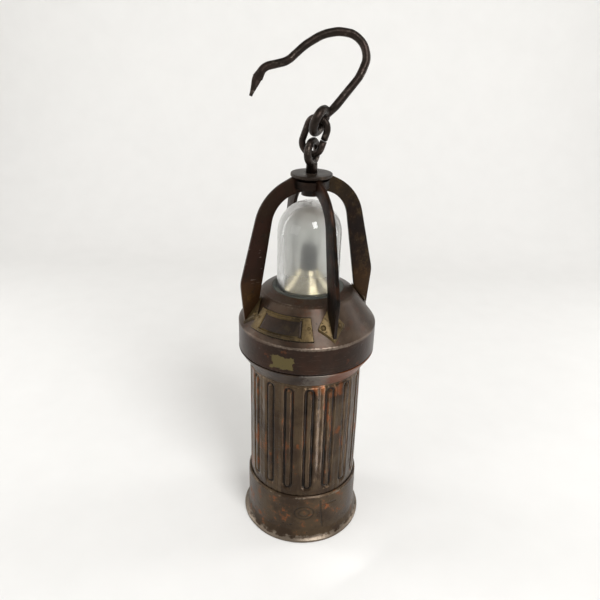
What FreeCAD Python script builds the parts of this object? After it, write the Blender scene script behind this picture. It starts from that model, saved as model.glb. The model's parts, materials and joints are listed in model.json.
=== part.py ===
import FreeCAD, Part
import math
import operator
import os
from types import SimpleNamespace

import Sketcher
from FreeCAD import Placement, Rotation, Vector

# A miner's electric hand lamp, upright on its foot.  The lamp's axis is Z and the
# origin is the centre of the foot.  Lengths are millimetres, angles are degrees, and
# angles round the axis are measured from +X, so -90 is the front.

DRIVING = [
    # Pot: the ribbed battery case and the band round its foot.
    ("pot_radius", 39.4, "outside of the ribbed wall"),
    ("pot_height", 133.3, "top edge of the pot"),
    ("pot_wall", 2.4, "wall of the pot"),
    ("pot_floor", 2.0, "floor of the pot"),
    ("floor_lift", 1.2, "floor's height above the table"),
    ("band_sheet", 1.55, "thickness of the foot band"),
    ("band_height", 40.4, "top of the foot band"),
    ("foot_radius", 44.7, "edge of the flared foot"),
    ("foot_flare", 8.0, "height of the flare"),
    ("foot_lip", 1.2, "thickness of the foot's edge"),
    ("rib_count", 17, "ribs round the pot"),
    ("rib_width", 3.8, "width of a rib"),
    ("first_rib", -84.4, "direction of one rib"),
    ("groove_width", 1.5, "width of the groove beside a rib"),
    ("groove_depth", 1.0, "depth of the groove"),
    ("groove_base", 46.5, "lower end of the grooves"),
    ("groove_top", 129.0, "upper end of the grooves"),
    # Neck: the threaded ring in the mouth of the pot.
    ("thread_radius", 38.0, "crest of the neck's thread"),
    ("neck_height", 18.0, "neck above the pot"),
    ("neck_depth", 12.0, "neck inside the pot"),
    ("neck_bore", 35.2, "bore that the battery passes"),
    # Battery.
    ("battery_gap", 0.4, "clearance round the battery"),
    ("pad_height", 2.0, "rubber pad under the battery"),
    ("case_height", 120.0, "battery case"),
    ("case_wall", 2.5, "wall of the battery case"),
    ("lid_height", 8.0, "battery lid"),
    ("post_height", 10.0, "battery terminals above the lid"),
    ("post_radius", 4.0, "positive terminal"),
    ("side_post_reach", 22.0, "negative terminal from the axis"),
    ("vent_radius", 5.0, "vent plugs"),
    # Collar: the bevelled ring that screws on the neck.
    ("bevel_height", 11.8, "height of the bevel"),
    ("bevel_step", 0.3, "bevel's lower edge outside the pot"),
    ("collar_land", 3.0, "threaded bore above the bevel"),
    ("spigot_height", 10.6, "spigot that the head turns on"),
    ("spigot_wall", 2.6, "wall of the spigot"),
    ("turn_gap", 0.3, "gap between faces that turn"),
    ("running_gap", 0.06, "clearance of a bearing"),
    ("sheet_gap", 0.05, "clearance of a fitted sheet"),
    # Lock bolt and its spring.
    ("bolt_radius", 1.8, "lock bolt"),
    ("bolt_length", 3.5, "length of the bolt"),
    ("bolt_rise", 8.4, "bolt above the collar's lower edge"),
    ("bolt_azimuth", 60.0, "direction of the bolt"),
    ("bolt_bite", 1.1, "bolt's nose inside the thread"),
    ("spring_length", 2.8, "lock spring at rest"),
    ("spring_wire", 0.4, "wire of the lock spring"),
    # Head: rim, cone and throat.
    ("rim_radius", 47.2, "outside of the rim"),
    ("rim_height", 19.3, "height of the rim"),
    ("head_wall", 1.5, "wall of the head"),
    ("cone_height", 21.1, "height of the cone"),
    ("cone_top", 31.5, "radius at the top of the cone"),
    ("lip_rise", 3.1, "throat above the cone"),
    ("throat_wall", 7.5, "width of the throat's top face"),
    ("boss_depth", 13.2, "depth of the throat"),
    ("clip_height", 1.4, "height of the retaining clip"),
    ("clip_width", 1.8, "radial width of the clip"),
    ("clip_rise", 4.6, "clip above the rim's lower edge"),
    # Glass and its seat.
    ("glass_radius", 21.0, "outside of the glass"),
    ("glass_wall", 4.5, "thickness of the glass"),
    ("glass_spring", 37.3, "height of the straight glass above the throat"),
    ("flange_width", 6.0, "flange at the foot of the glass"),
    ("flange_height", 3.5, "thickness of the flange"),
    ("gasket_flange", 1.5, "gasket between flange and throat"),
    ("gasket_proud", 0.4, "gasket above the throat"),
    ("clamp_height", 4.7, "clamp ring"),
    ("clamp_bore", 20.5, "bore of the clamp ring"),
    # Lamp holder and its parts.
    ("reflector_sheet", 0.8, "sheet of the reflector"),
    ("reflector_skirt", 10.0, "height of the reflector's skirt"),
    ("reflector_cone", 13.0, "height of the reflector's cone"),
    ("holder_radius", 5.5, "lamp holder"),
    ("holder_wall", 0.8, "wall of the holder"),
    ("holder_height", 56.0, "holder above the contact plate"),
    ("holder_foot", 9.0, "radius of the holder's foot"),
    ("plate_radius", 35.0, "contact plate"),
    ("plate_height", 3.0, "thickness of the contact plate"),
    ("pillar_height", 15.0, "pillars above the contact plate"),
    ("pillar_radius", 2.2, "pillars"),
    ("pillar_reach", 32.4, "pillars from the axis"),
    ("bulb_radius", 5.6, "bulb"),
    ("bulb_rise", 7.0, "bulb's centre above the holder"),
    ("bulb_skin", 0.5, "glass of the bulb"),
    ("bulb_neck", 3.4, "neck of the bulb"),
    ("leaf_sheet", 0.6, "contact springs"),
    ("leaf_width", 6.0, "width of a contact spring"),
    # Guard: four flat bars and what they stand on.
    ("arm_sheet", 2.4, "thickness of a guard bar"),
    ("first_arm", -66.3, "direction of one guard bar"),
    ("arm_standoff", 3.2, "bend of the inner edge outside the glass"),
    ("arm_depth", 9.06, "depth of the bar at its bend"),
    ("arm_rise", 2.35, "bend of the inner edge above the glass"),
    ("arm_lift", 3.5, "bend of the outer edge above that of the inner"),
    ("inner_bend", 21.0, "radius of the inner edge's bend"),
    ("outer_bend", 35.0, "radius of the outer edge's bend"),
    ("knee_bend", 20.0, "radius of the knee above the foot"),
    ("knee_rise", 9.5, "knee above the cone"),
    ("knee_reach", 0.4, "knee outside the rim"),
    ("foot_inner", 3.5, "foot of the bar outside the cone's top"),
    ("foot_outer", 2.0, "foot of the bar inside the rim"),
    ("saddle_sheet", 1.2, "thickness of a saddle"),
    ("saddle_half", 9.2, "half width of a saddle"),
    ("saddle_top", 1.6, "saddle's upper tip outside the cone's top"),
    ("saddle_base", 1.4, "saddle's lower tip inside the rim"),
    ("rivet_head", 1.9, "head of a saddle rivet"),
    ("rivet_shank", 1.0, "shank of a rivet"),
    ("rivet_spread", 8.5, "angle between a rivet and its bar"),
    # Number-plate holder on the cone.
    ("holder_azimuth", -114.3, "middle of the plate holder"),
    ("frame_half", 21.0, "half angle of its frame"),
    ("window_half", 18.5, "half angle of its window"),
    ("tab_half", 28.6, "half angle of its riveted tabs"),
    ("tab_rivet", 26.4, "angle of its rivets"),
    ("frame_sheet", 2.0, "thickness of the frame"),
    ("tab_sheet", 0.9, "thickness of the tabs"),
    ("frame_outer", 2.7, "frame's lower edge inside the rim"),
    ("frame_inner", 3.5, "frame's upper edge outside the cone's top"),
    ("frame_edge", 1.8, "width of the frame's edges"),
    ("number_sheet", 0.8, "thickness of the number plate"),
    ("small_head", 1.2, "head of a holder rivet"),
    # Crown: hub and disc that join the bars, and the swivel through them.
    ("hub_radius", 6.2, "hub"),
    ("hub_clear", 3.9, "hub above the glass"),
    ("hub_height", 11.85, "height of the hub"),
    ("spider_radius", 11.5, "flange of the hub that holds the bars"),
    ("spider_height", 5.0, "thickness of that flange"),
    ("disc_radius", 13.25, "top disc"),
    ("disc_height", 2.0, "thickness of the disc"),
    ("shank_radius", 2.5, "shank of the swivel"),
    ("nut_radius", 4.2, "nut under the swivel"),
    ("nut_height", 2.3, "thickness of the nut"),
    ("shoulder_radius", 3.6, "shoulder of the swivel"),
    # Chain and hook.
    ("eye_ring", 6.6, "middle radius of the swivel's eye"),
    ("eye_wire", 2.5, "wire radius of the eye"),
    ("eye_turn", 65.0, "direction of the eye's plane"),
    ("link_bend", 6.65, "middle radius of the link's ends"),
    ("link_straight", 9.5, "straight side of the link"),
    ("link_wire", 2.25, "wire radius of the link"),
    ("link_gap", 1.0, "gap in the side of the link"),
    ("link_drop", 7.8, "link's lower bend below the eye's upper wire"),
    ("link_lean", 20.0, "lean of the link"),
    ("hook_ring", 7.2, "middle radius of the hook's eye"),
    ("hook_ring_wire", 2.8, "wire radius of the hook's eye"),
    ("hook_wire", 2.6, "wire radius of the hook"),
    ("hook_slip", 1.8, "middle of the hook's eye below the link's bend"),
    ("hook_lean", 20.0, "lean of the hook"),
    ("hook_weld", 45.0, "where the bar leaves the hook's eye, from the eye's top"),
    ("tip_radius", 0.8, "blunt end of the hook"),
    ("tip_step", 0.15, "shoulder where the hook's taper starts"),
]


class Size:
    """A number together with the sheet expression that gives it."""

    def __init__(self, value, text):
        self.value = float(value)
        self.text = text

    def __float__(self):
        return self.value

    def __add__(self, other):
        return joined(self, other, "+", operator.add)

    def __radd__(self, other):
        return joined(other, self, "+", operator.add)

    def __sub__(self, other):
        return joined(self, other, "-", operator.sub)

    def __rsub__(self, other):
        return joined(other, self, "-", operator.sub)

    def __mul__(self, other):
        return joined(self, other, "*", operator.mul)

    def __rmul__(self, other):
        return joined(other, self, "*", operator.mul)

    def __truediv__(self, other):
        return joined(self, other, "/", operator.truediv)

    def __rtruediv__(self, other):
        return joined(other, self, "/", operator.truediv)

    def __neg__(self):
        return joined(0, self, "-", operator.sub)


def as_size(item):
    """Give a plain number the same form as a named size."""
    return item if isinstance(item, Size) else Size(item, repr(float(item)))


def joined(left, right, sign, work):
    """Join two sizes with an arithmetic sign, in value and in text."""
    left, right = as_size(left), as_size(right)
    return Size(work(left.value, right.value), f"({left.text} {sign} {right.text})")


def sine(angle):
    """Sine of an angle in degrees."""
    angle = as_size(angle)
    return Size(math.sin(math.radians(angle.value)), f"sin({angle.text} * 1deg)")


def cosine(angle):
    """Cosine of an angle in degrees."""
    angle = as_size(angle)
    return Size(math.cos(math.radians(angle.value)), f"cos({angle.text} * 1deg)")


def root(size):
    """Square root."""
    return Size(math.sqrt(size.value), f"sqrt({size.text})")


def make_sheet():
    """Write the driving sizes in a sheet, a row each: name, value and meaning."""
    sheet = doc.addObject("Spreadsheet::Sheet", "Sizes")
    for row, (name, value, meaning) in enumerate(DRIVING, start=1):
        sheet.set(f"A{row}", name)
        sheet.set(f"B{row}", str(value))
        sheet.setAlias(f"B{row}", name)
        sheet.set(f"C{row}", meaning)
    doc.recompute()
    return SimpleNamespace(**{name: Size(value, f"Sizes.{name}") for name, value, _ in DRIVING})


# ---------------------------------------------------------------- drawing helpers


def bind(item, **sizes):
    """Bind an object's properties to sizes."""
    for name, size in sizes.items():
        item.setExpression(name, as_size(size).text)


def place(item, x=0, y=0, z=0, turn=0):
    """Put an object at (x, y, z), turned about the vertical."""
    item.Placement = Placement(Vector(0, 0, 0), Rotation(Vector(0, 0, 1), 1))
    for name, size in (("Base.x", x), ("Base.y", y), ("Base.z", z), ("Rotation.Angle", turn)):
        item.setExpression(f"Placement.{name}", as_size(size).text)


def tie_one(sketch, kind, edge, end, size):
    """Tie one end of an edge to a distance across or up from the sketch's middle."""
    size = as_size(size)
    if size.value == 0:
        axis = -2 if kind == "DistanceX" else -1
        sketch.addConstraint(Sketcher.Constraint("PointOnObject", edge, end, axis))
        return
    ends = (-1, 1, edge, end) if size.value > 0 else (edge, end, -1, 1)
    text = size.text if size.value > 0 else f"-{size.text}"
    index = sketch.addConstraint(Sketcher.Constraint(kind, *ends, abs(size.value)))
    sketch.setExpression(f"Constraints[{index}]", text)


def tie(sketch, edge, end, spot):
    """Tie one end of an edge to the two sizes of a spot."""
    tie_one(sketch, "DistanceX", edge, end, spot[0])
    tie_one(sketch, "DistanceY", edge, end, spot[1])


def flat(corner):
    """A corner's two sizes as a point of the sketch."""
    return Vector(float(corner[0]), float(corner[1]), 0)


def outline(sketch, corners, domes=()):
    """Draw a closed outline through corners.  An edge whose number is in domes is an
    arc round a middle on the sketch's upright axis."""
    first = sketch.GeometryCount
    count = len(corners)
    ends = []
    for number in range(count):
        start, finish = flat(corners[number]), flat(corners[(number + 1) % count])
        if number not in domes:
            sketch.addGeometry(Part.LineSegment(start, finish), False)
            ends.append((1, 2))
            continue
        lift = (finish.y**2 - start.y**2 + finish.x**2 - start.x**2) / (2 * (finish.y - start.y))
        middle = Vector(0, lift, 0)
        angles = [math.atan2(spot.y - lift, spot.x) for spot in (start, finish)]
        onward = angles[0] < angles[1]
        circle = Part.Circle(middle, Vector(0, 0, 1), start.distanceToPoint(middle))
        arc = sketch.addGeometry(Part.ArcOfCircle(circle, min(angles), max(angles)), False)
        sketch.addConstraint(Sketcher.Constraint("PointOnObject", arc, 3, -2))
        ends.append((1, 2) if onward else (2, 1))
    for number in range(count):
        after = (number + 1) % count
        joint = (first + number, ends[number][1], first + after, ends[after][0])
        sketch.addConstraint(Sketcher.Constraint("Coincident", *joint))
    for number, corner in enumerate(corners):
        tie(sketch, first + number, ends[number][0], corner)


def ring(sketch, x, y, radius):
    """Draw a circle."""
    middle = Vector(float(x), float(y), 0)
    edge = sketch.addGeometry(Part.Circle(middle, Vector(0, 0, 1), float(radius)), False)
    tie(sketch, edge, 3, (x, y))
    index = sketch.addConstraint(Sketcher.Constraint("Radius", edge, float(radius)))
    sketch.setExpression(f"Constraints[{index}]", as_size(radius).text)


def new_body(label):
    """Start a body."""
    body = doc.addObject("PartDesign::Body", "Body")
    body.Label = label
    return body


def sketch_on(body, role, lift=0):
    """Start a sketch on one of a body's own planes, lifted along the plane's normal."""
    plane = next(item for item in body.Origin.OriginFeatures if item.Role == role)
    sketch = body.newObject("Sketcher::SketchObject", "Sketch")
    sketch.AttachmentSupport = [(plane, "")]
    sketch.MapMode = "FlatFace"
    bind(sketch, **{"AttachmentOffset.Base.z": lift})
    return sketch


def spin(body, kind, corners, angle=360, domes=()):
    """Turn an outline of (radius, height) corners about Z, evenly about the XZ plane."""
    sketch = sketch_on(body, "XZ_Plane")
    outline(sketch, corners, domes)
    feature = body.newObject(f"PartDesign::{kind}", kind)
    feature.Profile = (sketch, [""])
    feature.ReferenceAxis = (sketch, ["V_Axis"])
    feature.Midplane = True
    bind(feature, Angle=angle)
    return feature


def turned(label, corners, domes=()):
    """A piece turned about Z."""
    body = new_body(label)
    spin(body, "Revolution", corners, domes=domes)
    return body


def box_ring(inner, outer, base, top):
    """Corners of a rectangular ring's section."""
    return [(inner, base), (outer, base), (outer, top), (inner, top)]


def pad(body, sketch, length, both_ways=False):
    """Pad a sketch."""
    feature = body.newObject("PartDesign::Pad", "Pad")
    feature.Profile = (sketch, [""])
    feature.Midplane = both_ways
    bind(feature, Length=length)
    return feature


def round_corners(body, feature, corners):
    """Round a padded outline at given corners; corners holds (corner, radius) pairs."""
    doc.recompute()
    for corner, radius in corners:
        spot = flat(corner)
        for number, edge in enumerate(feature.Shape.Edges, start=1):
            middle = edge.CenterOfMass
            if math.hypot(middle.x - spot.x, middle.z - spot.y) < 0.01:
                break
        fillet = body.newObject("PartDesign::Fillet", "Fillet")
        fillet.Base = (feature, [f"Edge{number}"])
        bind(fillet, Radius=radius)
        doc.recompute()
        feature = fillet
    return feature


def cylinder(label, radius, base, top, x=0, y=0):
    """An upright round bar between two heights."""
    bar = doc.addObject("Part::Cylinder", "Bar")
    bar.Label = label
    bind(bar, Radius=radius, Height=top - base)
    place(bar, x, y, base)
    return bar


def fused(label, pieces):
    """Several shapes made one."""
    whole = doc.addObject("Part::MultiFuse", "Whole")
    whole.Shapes = pieces
    whole.Label = label
    return whole


def grouped(label, pieces):
    """Separate solids kept in one group."""
    group = doc.addObject("Part::Compound", "Group")
    group.Links = pieces
    group.Label = label
    return group


def cut(label, base, tool):
    """One shape less another."""
    rest = doc.addObject("Part::Cut", "Cut")
    rest.Base = base
    rest.Tool = tool
    rest.Label = label
    return rest


def round_the_axis(count, start, reach):
    """Directions and places of count things spaced evenly round the axis."""
    for number in range(count):
        angle = start + number * (360 / count)
        yield angle, reach * cosine(angle), reach * sine(angle)


doc = FreeCAD.newDocument("hand_lamp")
S = make_sheet()
nodes = []

# ---------------------------------------------------------------- levels and radii

POT_BORE = S.pot_radius - S.pot_wall
BAND_BORE = S.pot_radius + S.sheet_gap
BAND_RADIUS = BAND_BORE + S.band_sheet
FLOOR_TOP = S.floor_lift + S.pot_floor
NECK_BASE = S.pot_height - S.neck_depth
NECK_TOP = S.pot_height + S.neck_height
BATTERY_RADIUS = S.neck_bore - S.battery_gap
PAD_TOP = FLOOR_TOP + S.pad_height
CASE_TOP = PAD_TOP + S.case_height
LID_TOP = CASE_TOP + S.lid_height
POST_TOP = LID_TOP + S.post_height

COLLAR_BASE = S.pot_height + S.turn_gap
BEVEL_TOP = COLLAR_BASE + S.bevel_height
LAND_TOP = BEVEL_TOP + S.collar_land
SPIGOT_TOP = BEVEL_TOP + S.spigot_height
COLLAR_BORE = S.thread_radius + S.turn_gap
RIM_BORE = S.rim_radius - S.head_wall
SPIGOT_RADIUS = RIM_BORE - S.running_gap
RIM_BASE = BEVEL_TOP + S.turn_gap
RIM_TOP = RIM_BASE + S.rim_height
CONE_TOP = RIM_TOP + S.cone_height
THROAT_TOP = CONE_TOP + S.lip_rise
THROAT_BORE = S.cone_top - S.throat_wall
BOSS_BASE = THROAT_TOP - S.boss_depth
CLIP_BASE = RIM_BASE + S.clip_rise
CLIP_TOP = CLIP_BASE + S.clip_height
CLIP_BORE = SPIGOT_RADIUS - 1.0
CLIP_RADIUS = CLIP_BORE + S.clip_width

FLANGE_RADIUS = S.glass_radius + S.flange_width
SEAT_BORE = FLANGE_RADIUS + 1.0
GASKET_BASE = THROAT_TOP - 5.0 - S.gasket_flange
GASKET_SHELF = GASKET_BASE + S.gasket_flange
FLANGE_BASE = GASKET_BASE - S.flange_height
GLASS_SPRING = THROAT_TOP + S.glass_spring
GLASS_TOP = GLASS_SPRING + S.glass_radius

PLATE_TOP = BOSS_BASE - S.pillar_height
PLATE_BASE = PLATE_TOP - S.plate_height
HOLDER_TOP = PLATE_TOP + S.holder_height
HOLDER_BORE = S.holder_radius - S.holder_wall
BULB_MIDDLE = HOLDER_TOP + S.bulb_rise

HUB_BASE = GLASS_TOP + S.hub_clear
HUB_TOP = HUB_BASE + S.hub_height
DISC_TOP = HUB_TOP + S.disc_height
SHANK_BORE = S.shank_radius + S.running_gap

CONE_SLOPE = S.cone_height / (S.rim_radius - S.cone_top)
CONE_STRETCH = root(1 + CONE_SLOPE * CONE_SLOPE)


def on_cone(radius, lift=0):
    """A corner at a radius, lifted off the cone's outside along its normal."""
    return radius, RIM_TOP + (S.rim_radius - radius) * CONE_SLOPE + lift * CONE_STRETCH


# ---------------------------------------------------------------- pot and battery


def pot_shell():
    """The drawn pot, its floor and wall in one, with a groove each side of each rib."""
    body = turned(
        "pot_shell",
        [
            (0, S.floor_lift),
            (S.pot_radius, S.floor_lift),
            (S.pot_radius, S.pot_height),
            (POT_BORE, S.pot_height),
            (POT_BORE, FLOOR_TOP),
            (0, FLOOR_TOP),
        ],
    )
    place(body, turn=S.first_rib + 90)
    sketch = sketch_on(body, "XZ_Plane", S.pot_radius - S.groove_depth)
    near = S.rib_width / 2
    far = near + S.groove_width
    for left, right in ((near, far), (-far, -near)):
        outline(sketch, box_ring(left, right, S.groove_base, S.groove_top))
    pocket = body.newObject("PartDesign::Pocket", "Pocket")
    pocket.Profile = (sketch, [""])
    pocket.Reversed = True
    bind(pocket, Length=S.groove_depth * 3)
    doc.recompute()
    pattern = body.newObject("PartDesign::PolarPattern", "Ribs")
    pattern.Originals = [pocket]
    pattern.Axis = (sketch_axis(body), [""])
    pattern.Angle = 360
    bind(pattern, Occurrences=S.rib_count)
    body.Tip = pattern
    return body


def sketch_axis(body):
    """A body's own Z axis."""
    return next(item for item in body.Origin.OriginFeatures if item.Role == "Z_Axis")


def foot_band():
    """The band sweated round the pot, flared out into the foot it stands on."""
    return turned(
        "foot_band",
        [
            (BAND_BORE, 0),
            (S.foot_radius, 0),
            (S.foot_radius, S.foot_lip),
            (BAND_RADIUS + 1, S.foot_flare / 2),
            (BAND_RADIUS, S.foot_flare),
            (BAND_RADIUS, S.band_height - S.band_sheet / 2),
            (BAND_BORE, S.band_height),
        ],
    )


def neck_ring():
    """The threaded neck.  Its thread is a plain cylinder, with a notch for the bolt."""
    body = turned(
        "neck_ring",
        [
            (S.neck_bore, NECK_BASE),
            (POT_BORE - S.sheet_gap, NECK_BASE),
            (POT_BORE - S.sheet_gap, S.pot_height),
            (S.thread_radius, S.pot_height),
            (S.thread_radius, NECK_TOP),
            (S.neck_bore, NECK_TOP),
        ],
    )
    notch = doc.addObject("Part::Box", "Notch")
    width = 2 * (S.bolt_radius + S.turn_gap)
    base = COLLAR_BASE + S.bolt_rise - S.bolt_radius - S.turn_gap
    bind(notch, Length=S.thread_radius, Width=width, Height=NECK_TOP + 1 - base)
    reach = S.thread_radius - S.bolt_bite - S.turn_gap
    across = -width / 2
    place(
        notch,
        reach * cosine(S.bolt_azimuth) - across * sine(S.bolt_azimuth),
        reach * sine(S.bolt_azimuth) + across * cosine(S.bolt_azimuth),
        base,
        S.bolt_azimuth,
    )
    body.Label = "neck_blank"
    return cut("neck_ring", body, notch)


def battery():
    """The accumulator: pad, case, cells, lid, two terminals and two vent plugs."""
    inner = BATTERY_RADIUS - S.case_wall
    pad_piece = cylinder("battery_pad", BATTERY_RADIUS, FLOOR_TOP, PAD_TOP)
    case = turned(
        "battery_case",
        [
            (0, PAD_TOP),
            (BATTERY_RADIUS, PAD_TOP),
            (BATTERY_RADIUS, CASE_TOP),
            (inner, CASE_TOP),
            (inner, PAD_TOP + S.case_wall),
            (0, PAD_TOP + S.case_wall),
        ],
    )
    lid_corners = [(0, CASE_TOP), (BATTERY_RADIUS, CASE_TOP), (BATTERY_RADIUS, LID_TOP), (0, LID_TOP)]
    lid = turned("battery_lid", lid_corners)
    gap = S.battery_gap
    cells = cylinder("cell_pack", inner - gap, PAD_TOP + S.case_wall, CASE_TOP - gap)
    positive = cylinder("positive_terminal", S.post_radius, LID_TOP, POST_TOP)
    negative = new_body("negative_terminal")
    reach = S.side_post_reach
    half = S.leaf_width / 2
    spin(negative, "Revolution", box_ring(reach - half, reach + half, LID_TOP, POST_TOP), 30)
    vents = grouped(
        "vent_plugs",
        [
            cylinder("vent_plug", S.vent_radius, LID_TOP, LID_TOP + S.post_height / 2, x, y)
            for _, x, y in round_the_axis(2, 90, S.side_post_reach)
        ],
    )
    return [pad_piece, case, cells, lid, positive, negative, vents]


# ---------------------------------------------------------------- collar and lock


def collar_ring():
    """The bevelled ring.  Its spigot carries the head, and its bore takes the bolt."""
    groove_base = CLIP_BASE - S.turn_gap
    groove_top = CLIP_TOP + S.turn_gap
    groove_floor = CLIP_BORE - S.turn_gap
    body = turned(
        "collar_blank",
        [
            (COLLAR_BORE, COLLAR_BASE),
            (S.pot_radius + S.bevel_step, COLLAR_BASE),
            (S.rim_radius, BEVEL_TOP),
            (SPIGOT_RADIUS, BEVEL_TOP),
            (SPIGOT_RADIUS, groove_base),
            (groove_floor, groove_base),
            (groove_floor, groove_top),
            (SPIGOT_RADIUS, groove_top),
            (SPIGOT_RADIUS, SPIGOT_TOP),
            (SPIGOT_RADIUS - S.spigot_wall, SPIGOT_TOP),
            (SPIGOT_RADIUS - S.spigot_wall, LAND_TOP),
            (COLLAR_BORE, LAND_TOP),
        ],
    )
    start = S.thread_radius - S.bolt_bite
    depth = S.bolt_length + S.spring_length
    return cut("collar_ring", body, radial_bar("bolt_bore", S.bolt_radius + S.running_gap, start, depth))


def radial_bar(label, radius, start, length):
    """A round bar along the lock bolt's line, from a radius outward."""
    bar = doc.addObject("Part::Cylinder", "Bar")
    bar.Label = label
    bind(bar, Radius=radius, Height=length)
    azimuth = S.bolt_azimuth
    across = Vector(-math.sin(math.radians(azimuth.value)), math.cos(math.radians(azimuth.value)), 0)
    bar.Placement = Placement(Vector(0, 0, 0), Rotation(across, 90))
    for name, size in (("x", start * cosine(azimuth)), ("y", start * sine(azimuth))):
        bar.setExpression(f"Placement.Base.{name}", size.text)
    bar.setExpression("Placement.Base.z", (COLLAR_BASE + S.bolt_rise).text)
    return bar


def lock_spring():
    """The bolt's coil spring, between the bolt's back and the end of its bore."""
    turns = 3
    reach = S.bolt_radius - S.spring_wire
    length = S.spring_length - S.spring_wire
    coil = Part.makeHelix(float(length) / turns, float(length), float(reach))
    wire = Part.Wire(coil.Edges)
    start = wire.OrderedVertexes[0].Point
    heading = wire.OrderedEdges[0].tangentAt(wire.OrderedEdges[0].FirstParameter)
    section = Part.Wire(Part.makeCircle(float(S.spring_wire) / 2, start, heading))
    spring = doc.addObject("Part::Feature", "Spring")
    spring.Label = "lock_spring"
    spring.Shape = wire.makePipeShell([section], True, True)
    azimuth = math.radians(float(S.bolt_azimuth))
    back = float(S.thread_radius - S.bolt_bite + S.bolt_length + S.spring_wire / 2)
    across = Vector(-math.sin(azimuth), math.cos(azimuth), 0)
    spot = Vector(back * math.cos(azimuth), back * math.sin(azimuth), float(COLLAR_BASE + S.bolt_rise))
    spring.Placement = Placement(spot, Rotation(across, 90))
    return spring


# ---------------------------------------------------------------- rivets on the cone


def on_cone_normal(item, angle, radius, lift=0):
    """Stand an object on the cone, its Z axis along the cone's outward normal."""
    tilt = math.degrees(math.atan(float(CONE_SLOPE)))
    facing = Rotation(Vector(0, 0, 1), float(angle)) * Rotation(Vector(0, 1, 0), tilt)
    item.Placement = Placement(Vector(0, 0, 0), facing)
    reach = radius + lift * CONE_SLOPE / CONE_STRETCH
    height = on_cone(radius)[1] + lift / CONE_STRETCH
    for name, size in (("x", reach * cosine(angle)), ("y", reach * sine(angle)), ("z", height)):
        item.setExpression(f"Placement.Base.{name}", as_size(size).text)


def rivet(angle, radius, head, lift):
    """A rivet: a domed head standing on a sheet, and a shank down through the cone."""
    dome = doc.addObject("Part::Sphere", "Dome")
    dome.Angle1 = 30
    sphere = head / cosine(30)
    bind(dome, Radius=sphere)
    on_cone_normal(dome, angle, radius, lift - sphere * 0.5)
    shank = doc.addObject("Part::Cylinder", "Shank")
    depth = lift + S.head_wall
    bind(shank, Radius=S.rivet_shank, Height=depth + head * 0.2)
    on_cone_normal(shank, angle, radius, -S.head_wall)
    return fused("rivet", [dome, shank])


def rivet_hole(angle, radius):
    """The hole that a rivet's shank passes."""
    hole = doc.addObject("Part::Cylinder", "Hole")
    bind(hole, Radius=S.rivet_shank + S.sheet_gap, Height=12)
    on_cone_normal(hole, angle, radius, -6)
    return hole


ARM_ANGLES = [S.first_arm + 90 * number for number in range(4)]
SADDLE_RIVETS = [arm + side * S.rivet_spread for arm in ARM_ANGLES for side in (-1, 1)]
HOLDER_RIVETS = [S.holder_azimuth + side * S.tab_rivet for side in (-1, 1)]
RIVET_REACH = (S.cone_top + S.rim_radius) / 2


# ---------------------------------------------------------------- head and glass


def head_shell():
    """Rim, cone and throat in one casting, bored for the glass and its clamp ring."""
    slope_in = S.head_wall * CONE_STRETCH
    rim_inner_top = RIM_TOP + S.head_wall * CONE_SLOPE - slope_in
    boss_radius = S.rim_radius - (BOSS_BASE + slope_in - RIM_TOP) / CONE_SLOPE
    groove_floor = CLIP_RADIUS + S.sheet_gap
    blank = turned(
        "head_blank",
        [
            (RIM_BORE, RIM_BASE),
            (S.rim_radius, RIM_BASE),
            (S.rim_radius, RIM_TOP),
            (S.cone_top, CONE_TOP),
            (THROAT_BORE, THROAT_TOP),
            (THROAT_BORE, GASKET_SHELF),
            (SEAT_BORE, GASKET_SHELF),
            (SEAT_BORE, BOSS_BASE),
            (boss_radius, BOSS_BASE),
            (RIM_BORE, rim_inner_top),
            (RIM_BORE, CLIP_TOP + S.sheet_gap),
            (groove_floor, CLIP_TOP + S.sheet_gap),
            (groove_floor, CLIP_BASE - S.sheet_gap),
            (RIM_BORE, CLIP_BASE - S.sheet_gap),
        ],
    )
    rivet_holes = [rivet_hole(angle, RIVET_REACH) for angle in SADDLE_RIVETS + HOLDER_RIVETS]
    holes = grouped("rivet_holes", rivet_holes)
    return cut("head_shell", blank, holes)


def retaining_clip():
    """The split ring that keeps the head on the collar's spigot."""
    body = new_body("retaining_clip")
    spin(body, "Revolution", box_ring(CLIP_BORE, CLIP_RADIUS, CLIP_BASE, CLIP_TOP), 350)
    place(body, turn=90)
    return body


def glass_parts():
    """Gasket, glass bell and the clamp ring that holds them up against the throat."""
    gasket = turned(
        "glass_gasket",
        [
            (S.glass_radius + S.sheet_gap, GASKET_BASE),
            (FLANGE_RADIUS, GASKET_BASE),
            (FLANGE_RADIUS, GASKET_SHELF),
            (THROAT_BORE - S.sheet_gap, GASKET_SHELF),
            (THROAT_BORE - S.sheet_gap, THROAT_TOP + S.gasket_proud),
            (S.glass_radius + S.sheet_gap, THROAT_TOP + S.gasket_proud),
        ],
    )
    bore = S.glass_radius - S.glass_wall
    glass = turned(
        "glass_bell",
        [
            (bore, FLANGE_BASE),
            (FLANGE_RADIUS, FLANGE_BASE),
            (FLANGE_RADIUS, GASKET_BASE),
            (S.glass_radius, GASKET_BASE),
            (S.glass_radius, GLASS_SPRING),
            (0, GLASS_TOP),
            (0, GLASS_TOP - S.glass_wall),
            (bore, GLASS_SPRING),
        ],
        domes=(4, 6),
    )
    clamp = turned(
        "clamp_ring",
        box_ring(S.clamp_bore, SEAT_BORE - S.sheet_gap, FLANGE_BASE - S.clamp_height, FLANGE_BASE),
    )
    return [gasket, glass, clamp]


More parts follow.
